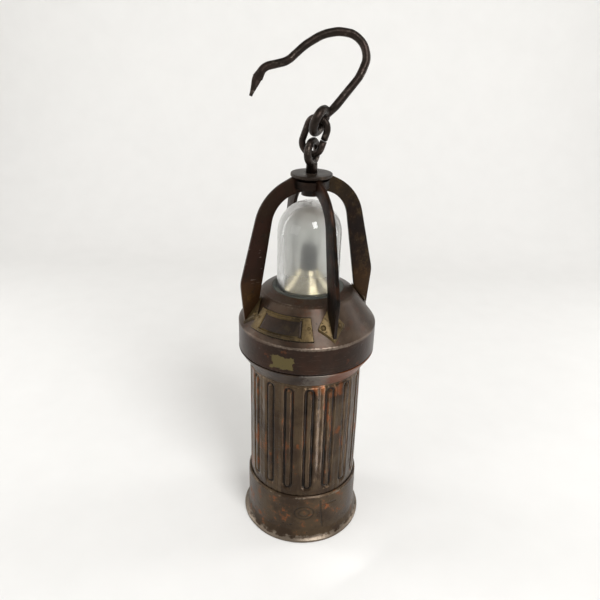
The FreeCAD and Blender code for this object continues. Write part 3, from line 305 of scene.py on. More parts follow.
def head_lacquer():
    """The head: chocolate rim, grey-brown cone, a shoulder worn bright, and one small patch of old olive paint low on
    the front of the rim; on the side towards the camera and key lamp the worn lightening is made stronger as a painted
    highlight."""
    shade = Shade("head_lacquer")
    cloud = shade.noise(50.0, 6.0, 0.62)
    grain = shade.noise(640.0, 4.0, 0.6)
    smear = shade.noise(140.0, 5.0, 0.7)
    _, _, height = shade.axes()
    angle = shade.direction()
    cone = shade.step(height, 0.1640, 0.1665)
    rim_colour = shade.mix(shade.step(cloud, 0.38, 0.64), DARK_BROWN, CHOCOLATE)
    cone_colour = shade.mix(shade.step(cloud, 0.36, 0.62), (0.030, 0.018, 0.011), (0.058, 0.038, 0.025))
    cone_colour = shade.mix(shade.step(smear, 0.50, 0.66) * 0.75, cone_colour, (0.052, 0.022, 0.011))
    colour = shade.mix(cone, rim_colour, cone_colour)
    rusty = shade.step(smear, 0.60, 0.74) * (1 - cone)
    colour = shade.mix(rusty * 0.25, colour, RUST)
    across = angle + (smear - 0.5) * 14.0
    upward = height + (smear - 0.5) * 0.008
    olive = shade.band(across, -117.0, -99.5, 0.8) * shade.band(upward, 0.1494, 0.1576, 0.0006)
    colour = shade.mix(olive * 0.9, colour, OLIVE_PAINT)
    worn = shade.step(shade.mark("wear") + (grain - 0.5) * 0.7 + (cloud - 0.5) * 1.0, 0.50, 0.95)
    # Painted highlight: on the side towards the camera and key lamp the worn edges lighten three times as much.
    front = shade.band(angle, -100.0, -62.0, 30.0)
    colour = shade.mix(worn * (0.25 + front * 0.5), colour, (0.24, 0.19, 0.15))
    spots = shade.step(shade.noise(420.0, 3.0, 0.7), 0.64, 0.72)
    colour = shade.mix(spots * 0.6, colour, SOOT_AND_SHADE)
    scuffs = shade.step(shade.noise(500.0, 2.0, 0.5, shade.stretched((0.25, 0.25, 2.5))), 0.62, 0.68)
    colour = shade.mix(scuffs * 0.07, colour, GREY_WORN)
    normal = shade.bump(cloud * 0.7 + grain * 0.10 - spots * 0.25, 0.0004)
    return shade.finish(
        Base_Color=colour,
        Metallic=0.70 + worn * 0.25 - olive * 0.6,
        Specular_IOR_Level=0.25,
        Roughness=0.30 + cloud * 0.14 + cone * 0.08 + olive * 0.25,
        Coat_Weight=0.10,
        Coat_Roughness=0.2,
        Normal=normal,
    )


def collar_steel():
    """The bevel: brown with rust towards the sides, bare steel where its edges are worn, and a band of bright steel on
    the front that is a painted highlight.
    """
    shade = Shade("collar_steel")
    cloud = shade.noise(70.0, 5.0, 0.6)
    rings = shade.noise(900.0, 3.0, 0.6, shade.stretched((0.08, 0.08, 1.0)))
    smear = shade.noise(200.0, 5.0, 0.7)
    angle = shade.direction()
    # Painted highlight: a narrow band on the side towards the camera and the key lamp.
    front = shade.band(angle + (smear - 0.5) * 30.0, -82.0, -76.0, 20.0)
    side = shade.band(angle + (smear - 0.5) * 30.0, -66.0, -20.0, 12.0)
    colour = shade.mix(shade.step(cloud, 0.36, 0.64), DARK_BROWN, (0.050, 0.031, 0.018))
    colour = shade.mix(side * 0.5, colour, RUST)
    # Bright steel: the painted highlight band plus real wear from the wear mark.
    bare = shade.step(front + shade.mark("wear") * 0.7 + (smear - 0.5) * 1.2, 0.45, 1.25)
    colour = shade.mix(bare * 0.32, colour, STEEL)
    normal = shade.bump(rings * 0.35 + cloud * 0.5, 0.0003)
    return shade.finish(
        Base_Color=colour,
        Metallic=0.55 + bare * 0.40,
        Roughness=0.36 + rings * 0.12 - bare * 0.10,
        Normal=normal,
    )


def bar_finish(name, upper, lower, mottle, mottling, scratched=0.0):
    """A guard bar: its upper colour, another near its foot, mottling and scratches."""
    shade = Shade(name)
    cloud = shade.noise(95.0, 6.0, 0.68)
    grain = shade.noise(700.0, 3.0, 0.6)
    _, _, height = shade.axes()
    foot = 1 - shade.step(height + (cloud - 0.5) * 0.02, 0.188, 0.204)
    crown = shade.step(height + (cloud - 0.5) * 0.02, 0.240, 0.254)
    colour = shade.mix(shade.step(cloud, 0.40, 0.62), upper, DARK_BROWN)
    mottled = shade.step(cloud + (grain - 0.5) * 0.3, 0.50, 0.66)
    colour = shade.mix(mottled * mottling, colour, mottle)
    colour = shade.mix(foot * (0.35 + mottled * 0.5), colour, lower)
    colour = shade.mix(crown * mottling * 0.6, colour, mottle)
    spots = shade.step(shade.noise(380.0, 3.0, 0.7), 0.60, 0.68)
    colour = shade.mix(spots * 0.55, colour, SOOT_AND_SHADE)
    lines = shade.noise(240.0, 2.0, 0.5, shade.stretched((0.6, 0.6, 6.0)))
    scratch = shade.step(lines, 0.70, 0.72) * shade.band(height, 0.200, 0.222, 0.006)
    colour = shade.mix(scratch * scratched, colour, (0.35, 0.30, 0.27))
    edge = shade.step(shade.mark("wear") + (grain - 0.5) * 0.6, 0.55, 0.95)
    colour = shade.mix(edge * 0.6, colour, (0.11, 0.07, 0.045))
    normal = shade.bump(cloud * 0.7 + grain * 0.15 - spots * 0.3, 0.0004)
    return shade.finish(
        Base_Color=colour,
        Metallic=0.65,
        Roughness=0.34 + cloud * 0.14,
        Specular_IOR_Level=0.2,
        Coat_Weight=0.02,
        Coat_Roughness=0.25,
        Normal=normal,
    )


def wrought_iron():
    """Dark forged iron: hammered facets, brown bloom and polished high spots."""
    shade = Shade("wrought_iron")
    hammer = shade.noise(260.0, 2.0, 0.5)
    grain = shade.noise(1100.0, 4.0, 0.65)
    bloom = shade.noise(90.0, 5.0, 0.65)
    colour = shade.mix(shade.step(bloom, 0.42, 0.62), IRON, (0.028, 0.018, 0.014))
    bright = shade.step(hammer + (grain - 0.5) * 0.35, 0.56, 0.70)
    colour = shade.mix(bright * 0.7, colour, IRON_LIGHT)
    normal = shade.bump(hammer * 0.8 + grain * 0.18, 0.00055)
    return shade.finish(
        Base_Color=colour,
        Metallic=0.80,
        Roughness=0.34 - bright * 0.14 + bloom * 0.08,
        Normal=normal,
    )


def clear_glass():
    """Thick pressed glass, with the faint waviness of the mould."""
    shade = Shade("clear_glass")
    waves = shade.noise(45.0, 2.0, 0.5)
    return shade.finish(
        Base_Color=(0.98, 0.985, 0.98),
        Roughness=0.02,
        IOR=1.48,
        Transmission_Weight=1.0,
        Normal=shade.bump(waves, 0.0001, 0.5),
    )


def frosted_lining():
    """The etched inside of the bell: milky, uneven, thinner low down, with rusty
    staining at the very top."""
    shade = Shade("frosted_lining")
    cloud = shade.noise(38.0, 5.0, 0.6)
    runs = shade.noise(90.0, 4.0, 0.6, shade.stretched((1.0, 1.0, 0.15)))
    _, _, height = shade.axes()
    milk = shade.mix(shade.step(cloud, 0.35, 0.65), (0.62, 0.63, 0.60), (0.76, 0.77, 0.74))
    stain = shade.step(height + (cloud - 0.5) * 0.020, 0.2270, 0.2430)
    colour = shade.mix(stain * 0.60, milk, (0.16, 0.10, 0.06))
    thick = shade.step(height, 0.190, 0.216)
    return shade.finish(
        Base_Color=colour,
        Roughness=0.22 + thick * 0.14 + (runs - 0.5) * 0.08,
        IOR=1.48,
        Transmission_Weight=0.76,
    )


def smooth_stuff(name, dark, light, metallic, rough, grain_size=500.0, relief=0.00008):
    """A plain material with clouded colour and fine grain."""
    shade = Shade(name)
    cloud = shade.noise(90.0, 5.0, 0.6)
    grain = shade.noise(grain_size, 3.0, 0.6)
    colour = shade.mix(shade.step(cloud * 0.6 + grain * 0.4, 0.38, 0.62), dark, light)
    return shade.finish(
        Base_Color=colour,
        Metallic=metallic,
        Roughness=rough - 0.06 + cloud * 0.12,
        Normal=shade.bump(cloud * 0.4 + grain * 0.4, relief),
    )


# ---------------------------------------------------------------- mesh writing


def grid_piece(name, points, close_rows, close_columns, marks, body, replaced, material):
    """A piece from a grid of points (rows, columns, 3): each square of four neighbours
    is a face, and a closed direction joins its last line to its first."""
    rows, columns = points.shape[:2]
    row_ids = np.arange(rows if close_rows else rows - 1)
    column_ids = np.arange(columns if close_columns else columns - 1)
    row, column = np.meshgrid(row_ids, column_ids, indexing="ij")
    next_row, next_column = (row + 1) % rows, (column + 1) % columns
    corners = [
        row * columns + column,
        row * columns + next_column,
        next_row * columns + next_column,
        next_row * columns + column,
    ]
    faces = np.stack([corner.ravel() for corner in corners], axis=1)
    mesh = bpy.data.meshes.new(name)
    mesh.vertices.add(rows * columns)
    mesh.vertices.foreach_set("co", points.reshape(-1).astype(np.float32))
    mesh.loops.add(faces.size)
    mesh.loops.foreach_set("vertex_index", faces.ravel())
    mesh.polygons.add(len(faces))
    mesh.polygons.foreach_set("loop_start", np.arange(0, faces.size, 4))
    mesh.update(calc_edges=True)
    for mark, values in marks.items():
        layer = mesh.attributes.new(mark, "FLOAT", "POINT")
        layer.data.foreach_set("value", values.ravel().astype(np.float32))
    return settle(name, mesh, body, replaced, material)


def settle(name, mesh, body, replaced, material):
    """Weld a mesh, turn its faces outwards, smooth it, and set it on its body."""
    work = bmesh.new()
    work.from_mesh(mesh)
    bmesh.ops.remove_doubles(work, verts=work.verts, dist=1e-6)
    bmesh.ops.recalc_face_normals(work, faces=work.faces)
    work.to_mesh(mesh)
    work.free()
    mesh.polygons.foreach_set("use_smooth", np.ones(len(mesh.polygons), bool))
    mesh.materials.append(material)
    mesh.update()
    piece = bpy.data.objects.new(name, mesh)
    bpy.context.scene.collection.objects.link(piece)
    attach(piece, body)
    if replaced:
        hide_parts(*replaced)
    return piece


WEAR_REACH = 1.1


def rounded(corners, arcs=8):
    """A closed outline of (radius, height, rounding, wear) corners, in millimetres.
    Each corner becomes a short arc, tangent to both its sides: points on the circle
    that touches them, whose size is the corner's rounding."""
    corners = np.array(corners, float)
    pieces = []
    for here, before, after in zip(corners, np.roll(corners, 1, 0), np.roll(corners, -1, 0)):
        back, forth = before[:2] - here[:2], after[:2] - here[:2]
        back_length, forth_length = np.hypot(*back), np.hypot(*forth)
        back, forth = back / back_length, forth / forth_length
        half = math.acos(np.clip(back @ forth, -0.9999, 0.9999)) / 2
        reach = min(here[2] / math.tan(half), 0.45 * back_length, 0.45 * forth_length)
        if reach < 1e-4:
            pieces.append([[*here[:2], here[3]]])
            continue
        radius = reach * math.tan(half)
        middle = here[:2] + (back + forth) / np.hypot(*(back + forth)) * radius / math.sin(half)
        start, finish = here[:2] + back * reach - middle, here[:2] + forth * reach - middle
        share = np.linspace(0, 1, arcs)[:, None]
        arc = start * (1 - share) + finish * share
        arc = middle + arc / np.hypot(arc[:, 0], arc[:, 1])[:, None] * radius
        pieces.append(np.column_stack([arc, np.full(arcs, here[3])]))
    return np.vstack(pieces)


def finer(outline, step, fine_from):
    """A closed outline with extra points so that none outside fine_from are further
    apart than step.
    The wear of each corner falls off as a bell curve of the distance along the outline."""
    outline = np.vstack([outline, outline[:1]])
    gaps = np.hypot(*np.diff(outline[:, :2], axis=0).T)
    reach = np.concatenate([[0], np.cumsum(gaps)])
    even = np.arange(0, reach[-1], step)
    even = even[np.interp(even, reach, outline[:, 0]) >= fine_from]
    places = np.unique(np.concatenate([reach[:-1], even]).round(5))
    spots = np.stack([np.interp(places, reach, column) for column in outline.T], axis=1)
    away = np.abs(places[:, None] - reach[None, :-1])
    spots[:, 2] = (outline[:-1, 2] * np.exp(-((away / WEAR_REACH) ** 2))).max(axis=1)
    return spots


def turned(name, corners, body, replaced, material, around=192, step=2.0, shape=None, fine_from=0.0):
    """A piece turned about the lamp's axis: radius times (cosine, sine) of the angle,
    and the height.  shape may move the radii and gives marks for each point."""
    outline = finer(rounded(corners), step, fine_from)
    angle = np.linspace(0, 2 * np.pi, around, endpoint=False)
    radius = np.repeat(outline[:, :1], around, axis=1)
    height = np.repeat(outline[:, 1:2], around, axis=1)
    wear = np.repeat(outline[:, 2:3], around, axis=1)
    marks = {"wear": wear, "hollow": np.zeros_like(wear)}
    if shape:
        radius, found = shape(radius, height, angle[None, :])
        marks.update(found)
    points = np.stack([radius * np.cos(angle), radius * np.sin(angle), height], axis=2) * MM
    return grid_piece(name, points, True, True, marks, body, replaced, material)


def waves(x, y, z, seed, size):
    """Smooth unevenness from -1 to 1: a sum of sine waves in fixed directions."""
    chance = np.random.default_rng(seed)
    total = np.zeros(np.broadcast(x, y, z).shape)
    for _ in range(7):
        way = chance.normal(size=3)
        way /= np.linalg.norm(way)
        pitch = size * chance.uniform(0.6, 1.6)
        total += np.sin((x * way[0] + y * way[1] + z * way[2]) / pitch * 2 * np.pi + chance.uniform(0, 7))
    return total / 4


def eased_copy(node, material, edge=0.25, dents=0.0, seed=1, segments=2, shape=None):
    """A copy of a CAD piece, welded, with its sharp edges eased by a small bevel and
    its surface moved along its normal by smooth waves."""
    source = frame["nodes"][node]
    mesh = source.data.copy()
    mesh.name = f"{node}_eased"
    mesh.materials.clear()
    work = bmesh.new()
    work.from_mesh(mesh)
    bmesh.ops.remove_doubles(work, verts=work.verts, dist=2e-6)
    if edge:
        bmesh.ops.dissolve_limit(work, angle_limit=0.02, verts=work.verts, edges=work.edges)
        sharp = [e for e in work.edges if len(e.link_faces) == 2 and e.calc_face_angle() > 0.55]
        bmesh.ops.bevel(
            work,
            geom=sharp,
            offset=edge * MM,
            offset_type="OFFSET",
            segments=segments,
            profile=0.5,
            affect="EDGES",
            clamp_overlap=True,
        )
        bmesh.ops.triangulate(work, faces=work.faces)
    work.to_mesh(mesh)
    work.free()
    if dents:
        count = len(mesh.vertices)
        spots = np.zeros(count * 3, np.float32)
        mesh.vertices.foreach_get("co", spots)
        spots = spots.reshape(-1, 3)
        normals = np.zeros(count * 3, np.float32)
        mesh.vertices.foreach_get("normal", normals)
        push = (waves(*(spots / MM).T, seed, 9.0) - 1.0) * dents * MM
        spots += normals.reshape(-1, 3) * push[:, None]
        spots = shape(spots / MM).astype(np.float32) * MM if shape else spots
        mesh.vertices.foreach_set("co", spots.ravel())
    piece = settle(f"{node}_eased", mesh, source["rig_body"], [node], material)
    piece.data.set_sharp_from_angle(angle=0.7)
    return piece


HOOK_LEAN = math.radians(20.0)
LINK_TOP = np.array([4.65, -2.168, 298.695])
LAST_BEND = (-38.9, 22.6)
HOOK_TIP = (-42.7, 11.8)
BLADE_WIDER = 0.36
BLADE_THINNER = -0.42


def blade(spots):
    """The hook's end hammered into a blade: from the last bend to the tip the points
    move away from the bar's line within the hook's plane, and towards that plane."""
    rise = np.array([0, math.sin(HOOK_LEAN), math.cos(HOOK_LEAN)])
    face = np.array([0, math.cos(HOOK_LEAN), -math.sin(HOOK_LEAN)])
    bend = LINK_TOP + (LAST_BEND[0], 0, 0) + LAST_BEND[1] * rise
    tip = LINK_TOP + (HOOK_TIP[0], 0, 0) + HOOK_TIP[1] * rise
    way = (tip - bend) / np.linalg.norm(tip - bend)
    side = np.cross(face, way)
    away = spots - bend
    along = away @ way
    share = np.clip((along + 5.0) / 7.0, 0, 1) * (spots[:, 0] < -24)
    share = share * share * (3 - 2 * share)
    wide = (away @ side) * BLADE_WIDER * share
    thin = (away @ face) * BLADE_THINNER * share
    return spots + wide[:, None] * side + thin[:, None] * face


def top(node):
    """Height of a CAD piece's top, in millimetres."""
    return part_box(node)[1].z / MM


def base(node):
    """Height of a CAD piece's underside, in millimetres."""
    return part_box(node)[0].z / MM


def reach(node):
    """Outer radius of a round CAD piece, in millimetres."""
    low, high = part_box(node)
    return max(-low.x, high.x, -low.y, high.y) / MM


# ---------------------------------------------------------------- pot

RIBS = 17
FIRST_RIB = math.radians(-84.4)
RIB_HALF = 2.65
GROOVE_HALF = 1.05
GROOVE_DEPTH = 1.35
GROOVE_LOW, GROOVE_HIGH = 49.0, 126.6
WALL = 2.4


SEAM_DIRECTION = -66.6
STAMP_DIRECTION = -86.5
STAMP_MM_PER_DEGREE = 0.715
STAMP_HEIGHT = 25.5
STAMP_HALF_WIDTH = 7.0
STAMP_HALF_HEIGHT = 5.6


def ribbed(radius, height, angle):
    """The groove round each rib is a racetrack: its depth falls off as a bell curve of
    the distance from a line that runs a fixed way outside the rib's middle."""
    pitch = 2 * np.pi / RIBS
    turn = (angle - FIRST_RIB + pitch / 2) % pitch - pitch / 2
    outer = radius > reach("pot_shell") - 0.5
    sideways = np.abs(turn) * radius
    beyond = np.maximum(0, np.maximum(height - GROOVE_HIGH, GROOVE_LOW - height))
    away = np.abs(np.hypot(sideways, beyond) - RIB_HALF)
    depth = np.exp(-((away / GROOVE_HALF) ** 4)) * outer
    bulge = np.cos(np.clip((np.abs(turn) / pitch * 2 - 0.62) / 0.38, -1, 1) * np.pi / 2)
    flat = (1 - bulge) * 0.22 * outer * (np.abs(turn) / pitch * 2 > 0.24)
    x, y = radius * np.cos(angle), radius * np.sin(angle)
    dents = (waves(x, y, height, 5, 34.0) - 1.2) * 0.13 * outer
    near = np.exp(-((away / 2.4) ** 2)) * outer
    # The groove depth also goes out as the mark for painted shade in the grooves; near marks where rust gathers.
    return radius - depth * GROOVE_DEPTH - flat + np.minimum(dents, 0), {"hollow": depth, "near": near}


def build_pot():
    """The ribbed pot and the band round its foot."""
    outside, under, rim = reach("pot_shell"), base("pot_shell"), top("pot_shell")
    inside, floor = outside - WALL, base("battery_pad")
    turned(
        "ribbed_pot",
        [
            (0.02, under, 0, 0),
            (outside - 0.3, under, 0, 0),
            (outside, 38.0, 0, 0),
            (outside, rim - 2.6, 0.5, 0.4),
            (outside - 0.5, rim - 2.0, 0.5, 0),
            (outside - 0.5, rim, 0.4, 0.5),
            (inside, rim, 0, 0),
            (inside, floor, 0, 0),
            (0.02, floor, 0, 0),
        ],
        "pot",
        ["pot_shell"],
        pot_lacquer(),
        around=RIBS * 30,
        step=1.0,
        shape=ribbed,
        fine_from=outside - 1.0,
    )
    foot, band_top = reach("foot_band"), top("foot_band")
    band = outside + 1.6

    def dented(radius, height, angle):
        """A hand-made band: slight waves all round, and a seam at the front."""
        outer = radius > outside + 0.9
        x, y = radius * np.cos(angle), radius * np.sin(angle)
        dents = (waves(x, y, height, 11, 26.0) - 1.2) * 0.16
        turn = np.degrees((angle + np.pi) % (2 * np.pi) - np.pi)
        tilt = SEAM_DIRECTION - (height - 12.0) * 0.14
        seam = np.exp(-(((turn - tilt) / 0.7) ** 2)) * (height > 10) * (height < 36)
        level = np.exp(-(((height - 31.2) / 0.55) ** 2)) * (turn > -69.0) * (turn < -52.0)
        across = (turn - STAMP_DIRECTION) * STAMP_MM_PER_DEGREE
        oval = np.hypot(across / STAMP_HALF_WIDTH, (height - STAMP_HEIGHT) / STAMP_HALF_HEIGHT)
        stamp = np.exp(-(((oval - 1.0) / 0.09) ** 2)) + np.exp(-(((oval - 0.55) / 0.10) ** 2)) * 0.8
        groove = np.maximum(np.maximum(seam, level), stamp)
        # The grooves' depth also goes out as the mark for painted shade.
        return radius + (np.minimum(dents, 0) - groove * 0.30) * outer, {"hollow": groove * outer * 0.8}

    turned(
        "foot_band_skin",
        [
            (outside + 0.05, 0, 0, 0),
            (foot - 1.6, 0, 0.4, 0.4),
            (foot, 0.3, 0.7, 0.8),
            (foot - 0.1, 1.8, 0.8, 0.9),
            (band + 1.7, 3.6, 3.0, 0.35),
            (band + 0.1, 9.0, 6.0, 0.1),
            (band, band_top - 1.3, 0.6, 0.55),
            (outside + 0.05, band_top, 0.2, 0.25),
        ],
        "pot",
        ["foot_band"],
        band_lacquer(),
        around=560,
        step=0.7,
        shape=dented,
        fine_from=outside + 0.9,
    )


# ---------------------------------------------------------------- collar and head

RIM_HEIGHT = 19.3
CONE_HEIGHT = 21.1
CONE_TOP_RADIUS = 31.5
THROAT = 24.0
SHELL = 1.5
THROAT_LIP = 5.0
BOSS_BORE = 28.0
BOSS_DEPTH = 13.2
BOSS_RADIUS = 36.0


def build_collar():
    """The bevelled collar with its spigot inside the head."""
    low, high, outside = base("collar_ring"), top("collar_ring"), reach("collar_ring")
    bevel_top = base("head_shell") - 0.3
    inside = reach("neck_ring") + 0.3
    turned(
        "collar_bevel",
        [
            (inside, low, 0, 0),
            (reach("pot_shell") + 0.3, low, 0.3, 0.9),
            (outside, bevel_top - 0.4, 0.5, 0.6),
            (outside - 0.2, bevel_top, 0.2, 0.5),
            (outside - SHELL - 0.1, bevel_top, 0, 0),
            (outside - SHELL - 0.1, high, 0.3, 0),
            (outside - SHELL - 2.6, high, 0.3, 0),
            (outside - SHELL - 2.6, bevel_top + 3.0, 0, 0),
            (inside, bevel_top + 3.0, 0, 0),
        ],
        "collar",
        ["collar_ring"],
        collar_steel(),
        around=288,
        step=1.2,
    )


def build_head():
    """Rim, cone and throat as one casting with softened shoulders."""
    low, high, outside = base("head_shell"), top("head_shell"), reach("head_shell")
    rim_top = low + RIM_HEIGHT
    cone_top = rim_top + CONE_HEIGHT

    def uneven(radius, height, angle):
        """Slight waves in the casting."""
        x, y = radius * np.cos(angle), radius * np.sin(angle)
        outer = (radius > outside - 0.6) | (height > rim_top + 3)
        dents = np.minimum((waves(x, y, height, 23, 30.0) - 1.0) * 0.10, 0) * outer
        return radius + dents, {}

    turned(
        "head_casting",
        [
            (outside - SHELL, low, 0, 0),
            (outside - 0.6, low, 0.5, 0.30),
            (outside, low + 0.8, 0.8, 0.50),
            (outside, rim_top - 0.2, 1.6, 0.85),
            (CONE_TOP_RADIUS + 0.4, cone_top - 0.5, 1.4, 0.50),
            (CONE_TOP_RADIUS - 0.9, cone_top + 0.5, 0.5, 0.60),
            (THROAT + 0.2, high, 0.5, 0.1),
            (THROAT, high - 0.6, 0.4, 0),
            (THROAT, high - THROAT_LIP, 0, 0),
            (BOSS_BORE, high - THROAT_LIP, 0, 0),
            (BOSS_BORE, high - BOSS_DEPTH, 0, 0),
            (BOSS_RADIUS, high - BOSS_DEPTH, 0, 0),
            (outside - SHELL, rim_top - 1.0, 0, 0),
        ],
        "head",
        ["head_shell"],
        head_lacquer(),
        around=320,
        step=1.2,
        shape=uneven,
    )


def cone_spot(angle, radius, lift):
    """A point on the head's cone at an angle and radius, lifted along its normal."""
    low, outside = base("head_shell"), reach("head_shell")
    slope = CONE_HEIGHT / (outside - CONE_TOP_RADIUS)
    stretch = math.hypot(1, slope)
    away = radius + lift * slope / stretch
    height = low + RIM_HEIGHT + (outside - radius) * slope + lift / stretch
    return np.stack([away * np.cos(angle), away * np.sin(angle), height], axis=-1) * MM


HOLDER_DIRECTION = -114.3
TAB_HALF = 28.6
SLOT_AT = 19.0
WINDOW_HALF = 18.4


def build_plate_holder(brass, plate_paint):
    """The number-plate holder: one sheet bent to the cone, its thickness a function of
    the angle and the way up, with a raised frame, a sunk window and open end slots."""
    middle = math.radians(HOLDER_DIRECTION)
    columns, rows = 300, 90
    sideways = np.linspace(-1, 1, columns)[None, :]
    upward = np.linspace(0, 1, rows)[:, None]
    end = np.radians(TAB_HALF + (1 - upward) * 2.4)
    angle = middle + sideways * end
    radius = 44.6 - upward * 9.6
    turn = np.degrees(sideways * end)
    inside_window = np.clip((WINDOW_HALF - np.abs(turn)) / 0.5, 0, 1) * np.clip(
        np.minimum(upward - 0.20, 0.80 - upward) / 0.03, 0, 1
    )
    frame_line = np.exp(-(((np.minimum(upward, 1 - upward) - 0.13) / 0.035) ** 2)) * (np.abs(turn) < 21)
    slot_line = np.exp(-(((np.abs(turn) - SLOT_AT) / 1.25) ** 4)) * (upward > 0.16) * (upward < 0.84)
    thick = 0.95 + frame_line * 0.75 - inside_window * 0.55 - slot_line * 0.80
    thick = thick + np.clip((20.5 - np.abs(turn)) / 1.5, 0, 1) * 0.35 * (1 - inside_window)
    near_edge = np.minimum(np.minimum(upward, 1 - upward) * 9.6, (1 - np.abs(sideways)) * 20.0)
    thick = thick * np.clip(near_edge / 0.35, 0.15, 1) ** 0.5
    outer = cone_spot(angle, radius + 0 * sideways, thick)
    inner = cone_spot(angle, radius + 0 * sideways, np.full_like(thick, 0.04))
    # Painted shade: a thin dark line along the sheet's edges, and darkening in the slots and the sunk window.
    edge_shade = np.exp(-((near_edge / 0.5) ** 2))
    hollow = np.clip(slot_line * 1.2 + inside_window * 0.3 + edge_shade * 0.7, 0, 1)
    wear = np.clip(frame_line * 0.35, 0, 1)
    points = np.concatenate([outer, inner[::-1]], axis=0)
    marks = {"hollow": np.concatenate([hollow, 0 * hollow]), "wear": np.concatenate([wear, 0 * wear])}
    holder = grid_piece(
        "plate_holder_sheet",
        points,
        True,
        False,
        marks,
        "head",
        ["plate_holder"],
        brass,
    )
    close_ends(holder)
    eased_copy("number_plate", plate_paint, 0.15)
    return holder


def close_ends(piece):
    """Fill the open edge loops of a sheet."""
    work = bmesh.new()
    work.from_mesh(piece.data)
    open_edges = [edge for edge in work.edges if edge.is_boundary]
    bmesh.ops.holes_fill(work, edges=open_edges, sides=0)
    bmesh.ops.triangulate(work, faces=[face for face in work.faces if len(face.verts) > 4])
    bmesh.ops.recalc_face_normals(work, faces=work.faces)
    work.to_mesh(piece.data)
    work.free()


# ---------------------------------------------------------------- glass

GLASS_WALL = 4.5
FLANGE_WIDTH = 6.0


def dome_corners(radius, spring, steps=24):
    """Corners of a quarter circle from its springing to the axis: radius times cosine
    out and radius times sine up."""
    swing = np.linspace(0, np.pi / 2, steps)
    out = np.maximum(radius * np.cos(swing), 0.02)
    return [(x, z, 0, 0) for x, z in zip(out, spring + radius * np.sin(swing))]


def build_glass():
    """The bell, etched on its inside, and the gasket round it."""
    flange, low, apex = reach("glass_bell"), base("glass_bell"), top("glass_bell")
    outside = flange - FLANGE_WIDTH
    spring = apex - outside
    inside = outside - GLASS_WALL
    bell = [(inside, low, 0, 0), (flange, low, 0.3, 0), (flange, low + 3.5, 0.3, 0), (outside, low + 3.5, 0.3, 0)]
    bell += dome_corners(outside, spring)
    bell += dome_corners(inside, spring)[::-1]
    glass = turned("bell_glass", bell, "head", ["glass_bell"], clear_glass(), 192, 1.5)
    glass.data.materials.append(frosted_lining())
    centres = np.empty(len(glass.data.polygons) * 3, np.float32)
    glass.data.polygons.foreach_get("center", centres)
    x, y, z = centres.reshape(-1, 3).T / MM
    away = np.sqrt(x**2 + y**2 + np.maximum(z - spring, 0) ** 2)
    etched = (away < inside + 0.5) & (z > low + 3.0)
    glass.data.polygons.foreach_set("material_index", etched.astype(np.int32))
    gasket_top = top("glass_gasket")
    turned(
        "gasket_bead",
        [
            (outside + 0.05, low + 3.6, 0, 0),
            (flange, low + 3.6, 0, 0),
            (flange, low + 4.9, 0, 0),
            (THROAT - 0.1, low + 4.9, 0, 0),
            (THROAT - 0.1, gasket_top, 0.5, 0),
            (outside + 0.05, gasket_top - 0.2, 0.5, 0),
        ],
        "head",
        ["glass_gasket"],
        smooth_stuff("perished_rubber", (0.020, 0.024, 0.020), (0.055, 0.058, 0.045), 0.0, 0.62, 380.0, 0.0003),
        160,
        0.8,
    )
    return glass


def build_stage():
    """A pale floor that runs up in a curve into a backdrop: a line across the floor, a
    quarter circle and a line up, carried sideways."""
    bend = 0.25
    back = 0.75
    swing = np.linspace(0, np.pi / 2, 16)
    along = np.concatenate([[-1.2], back - bend + bend * np.sin(swing), [back]])
    up = np.concatenate([[0], bend - bend * np.cos(swing), [1.8]])
    across = np.array([-2.0, 2.0])
    points = np.stack(np.broadcast_arrays(across[None, :], along[:, None], up[:, None]), axis=2)
    mesh = bpy.data.meshes.new("studio_floor")
    rows = len(along)
    start = np.arange(rows - 1) * 2
    faces = np.stack([start, start + 1, start + 3, start + 2], axis=1)
    mesh.from_pydata(points.reshape(-1, 3).tolist(), [], faces.tolist())
    mesh.polygons.foreach_set("use_smooth", np.ones(len(mesh.polygons), bool))
    shade = Shade("studio_paper")
    mesh.materials.append(
        shade.finish(
            Base_Color=shade.mix(shade.noise(30.0, 2.0), (0.78, 0.775, 0.76), (0.82, 0.815, 0.80)),
            Roughness=0.9,
        )
    )
    floor = bpy.data.objects.new("studio_floor", mesh)
    bpy.context.scene.collection.objects.link(floor)


# ---------------------------------------------------------------- build


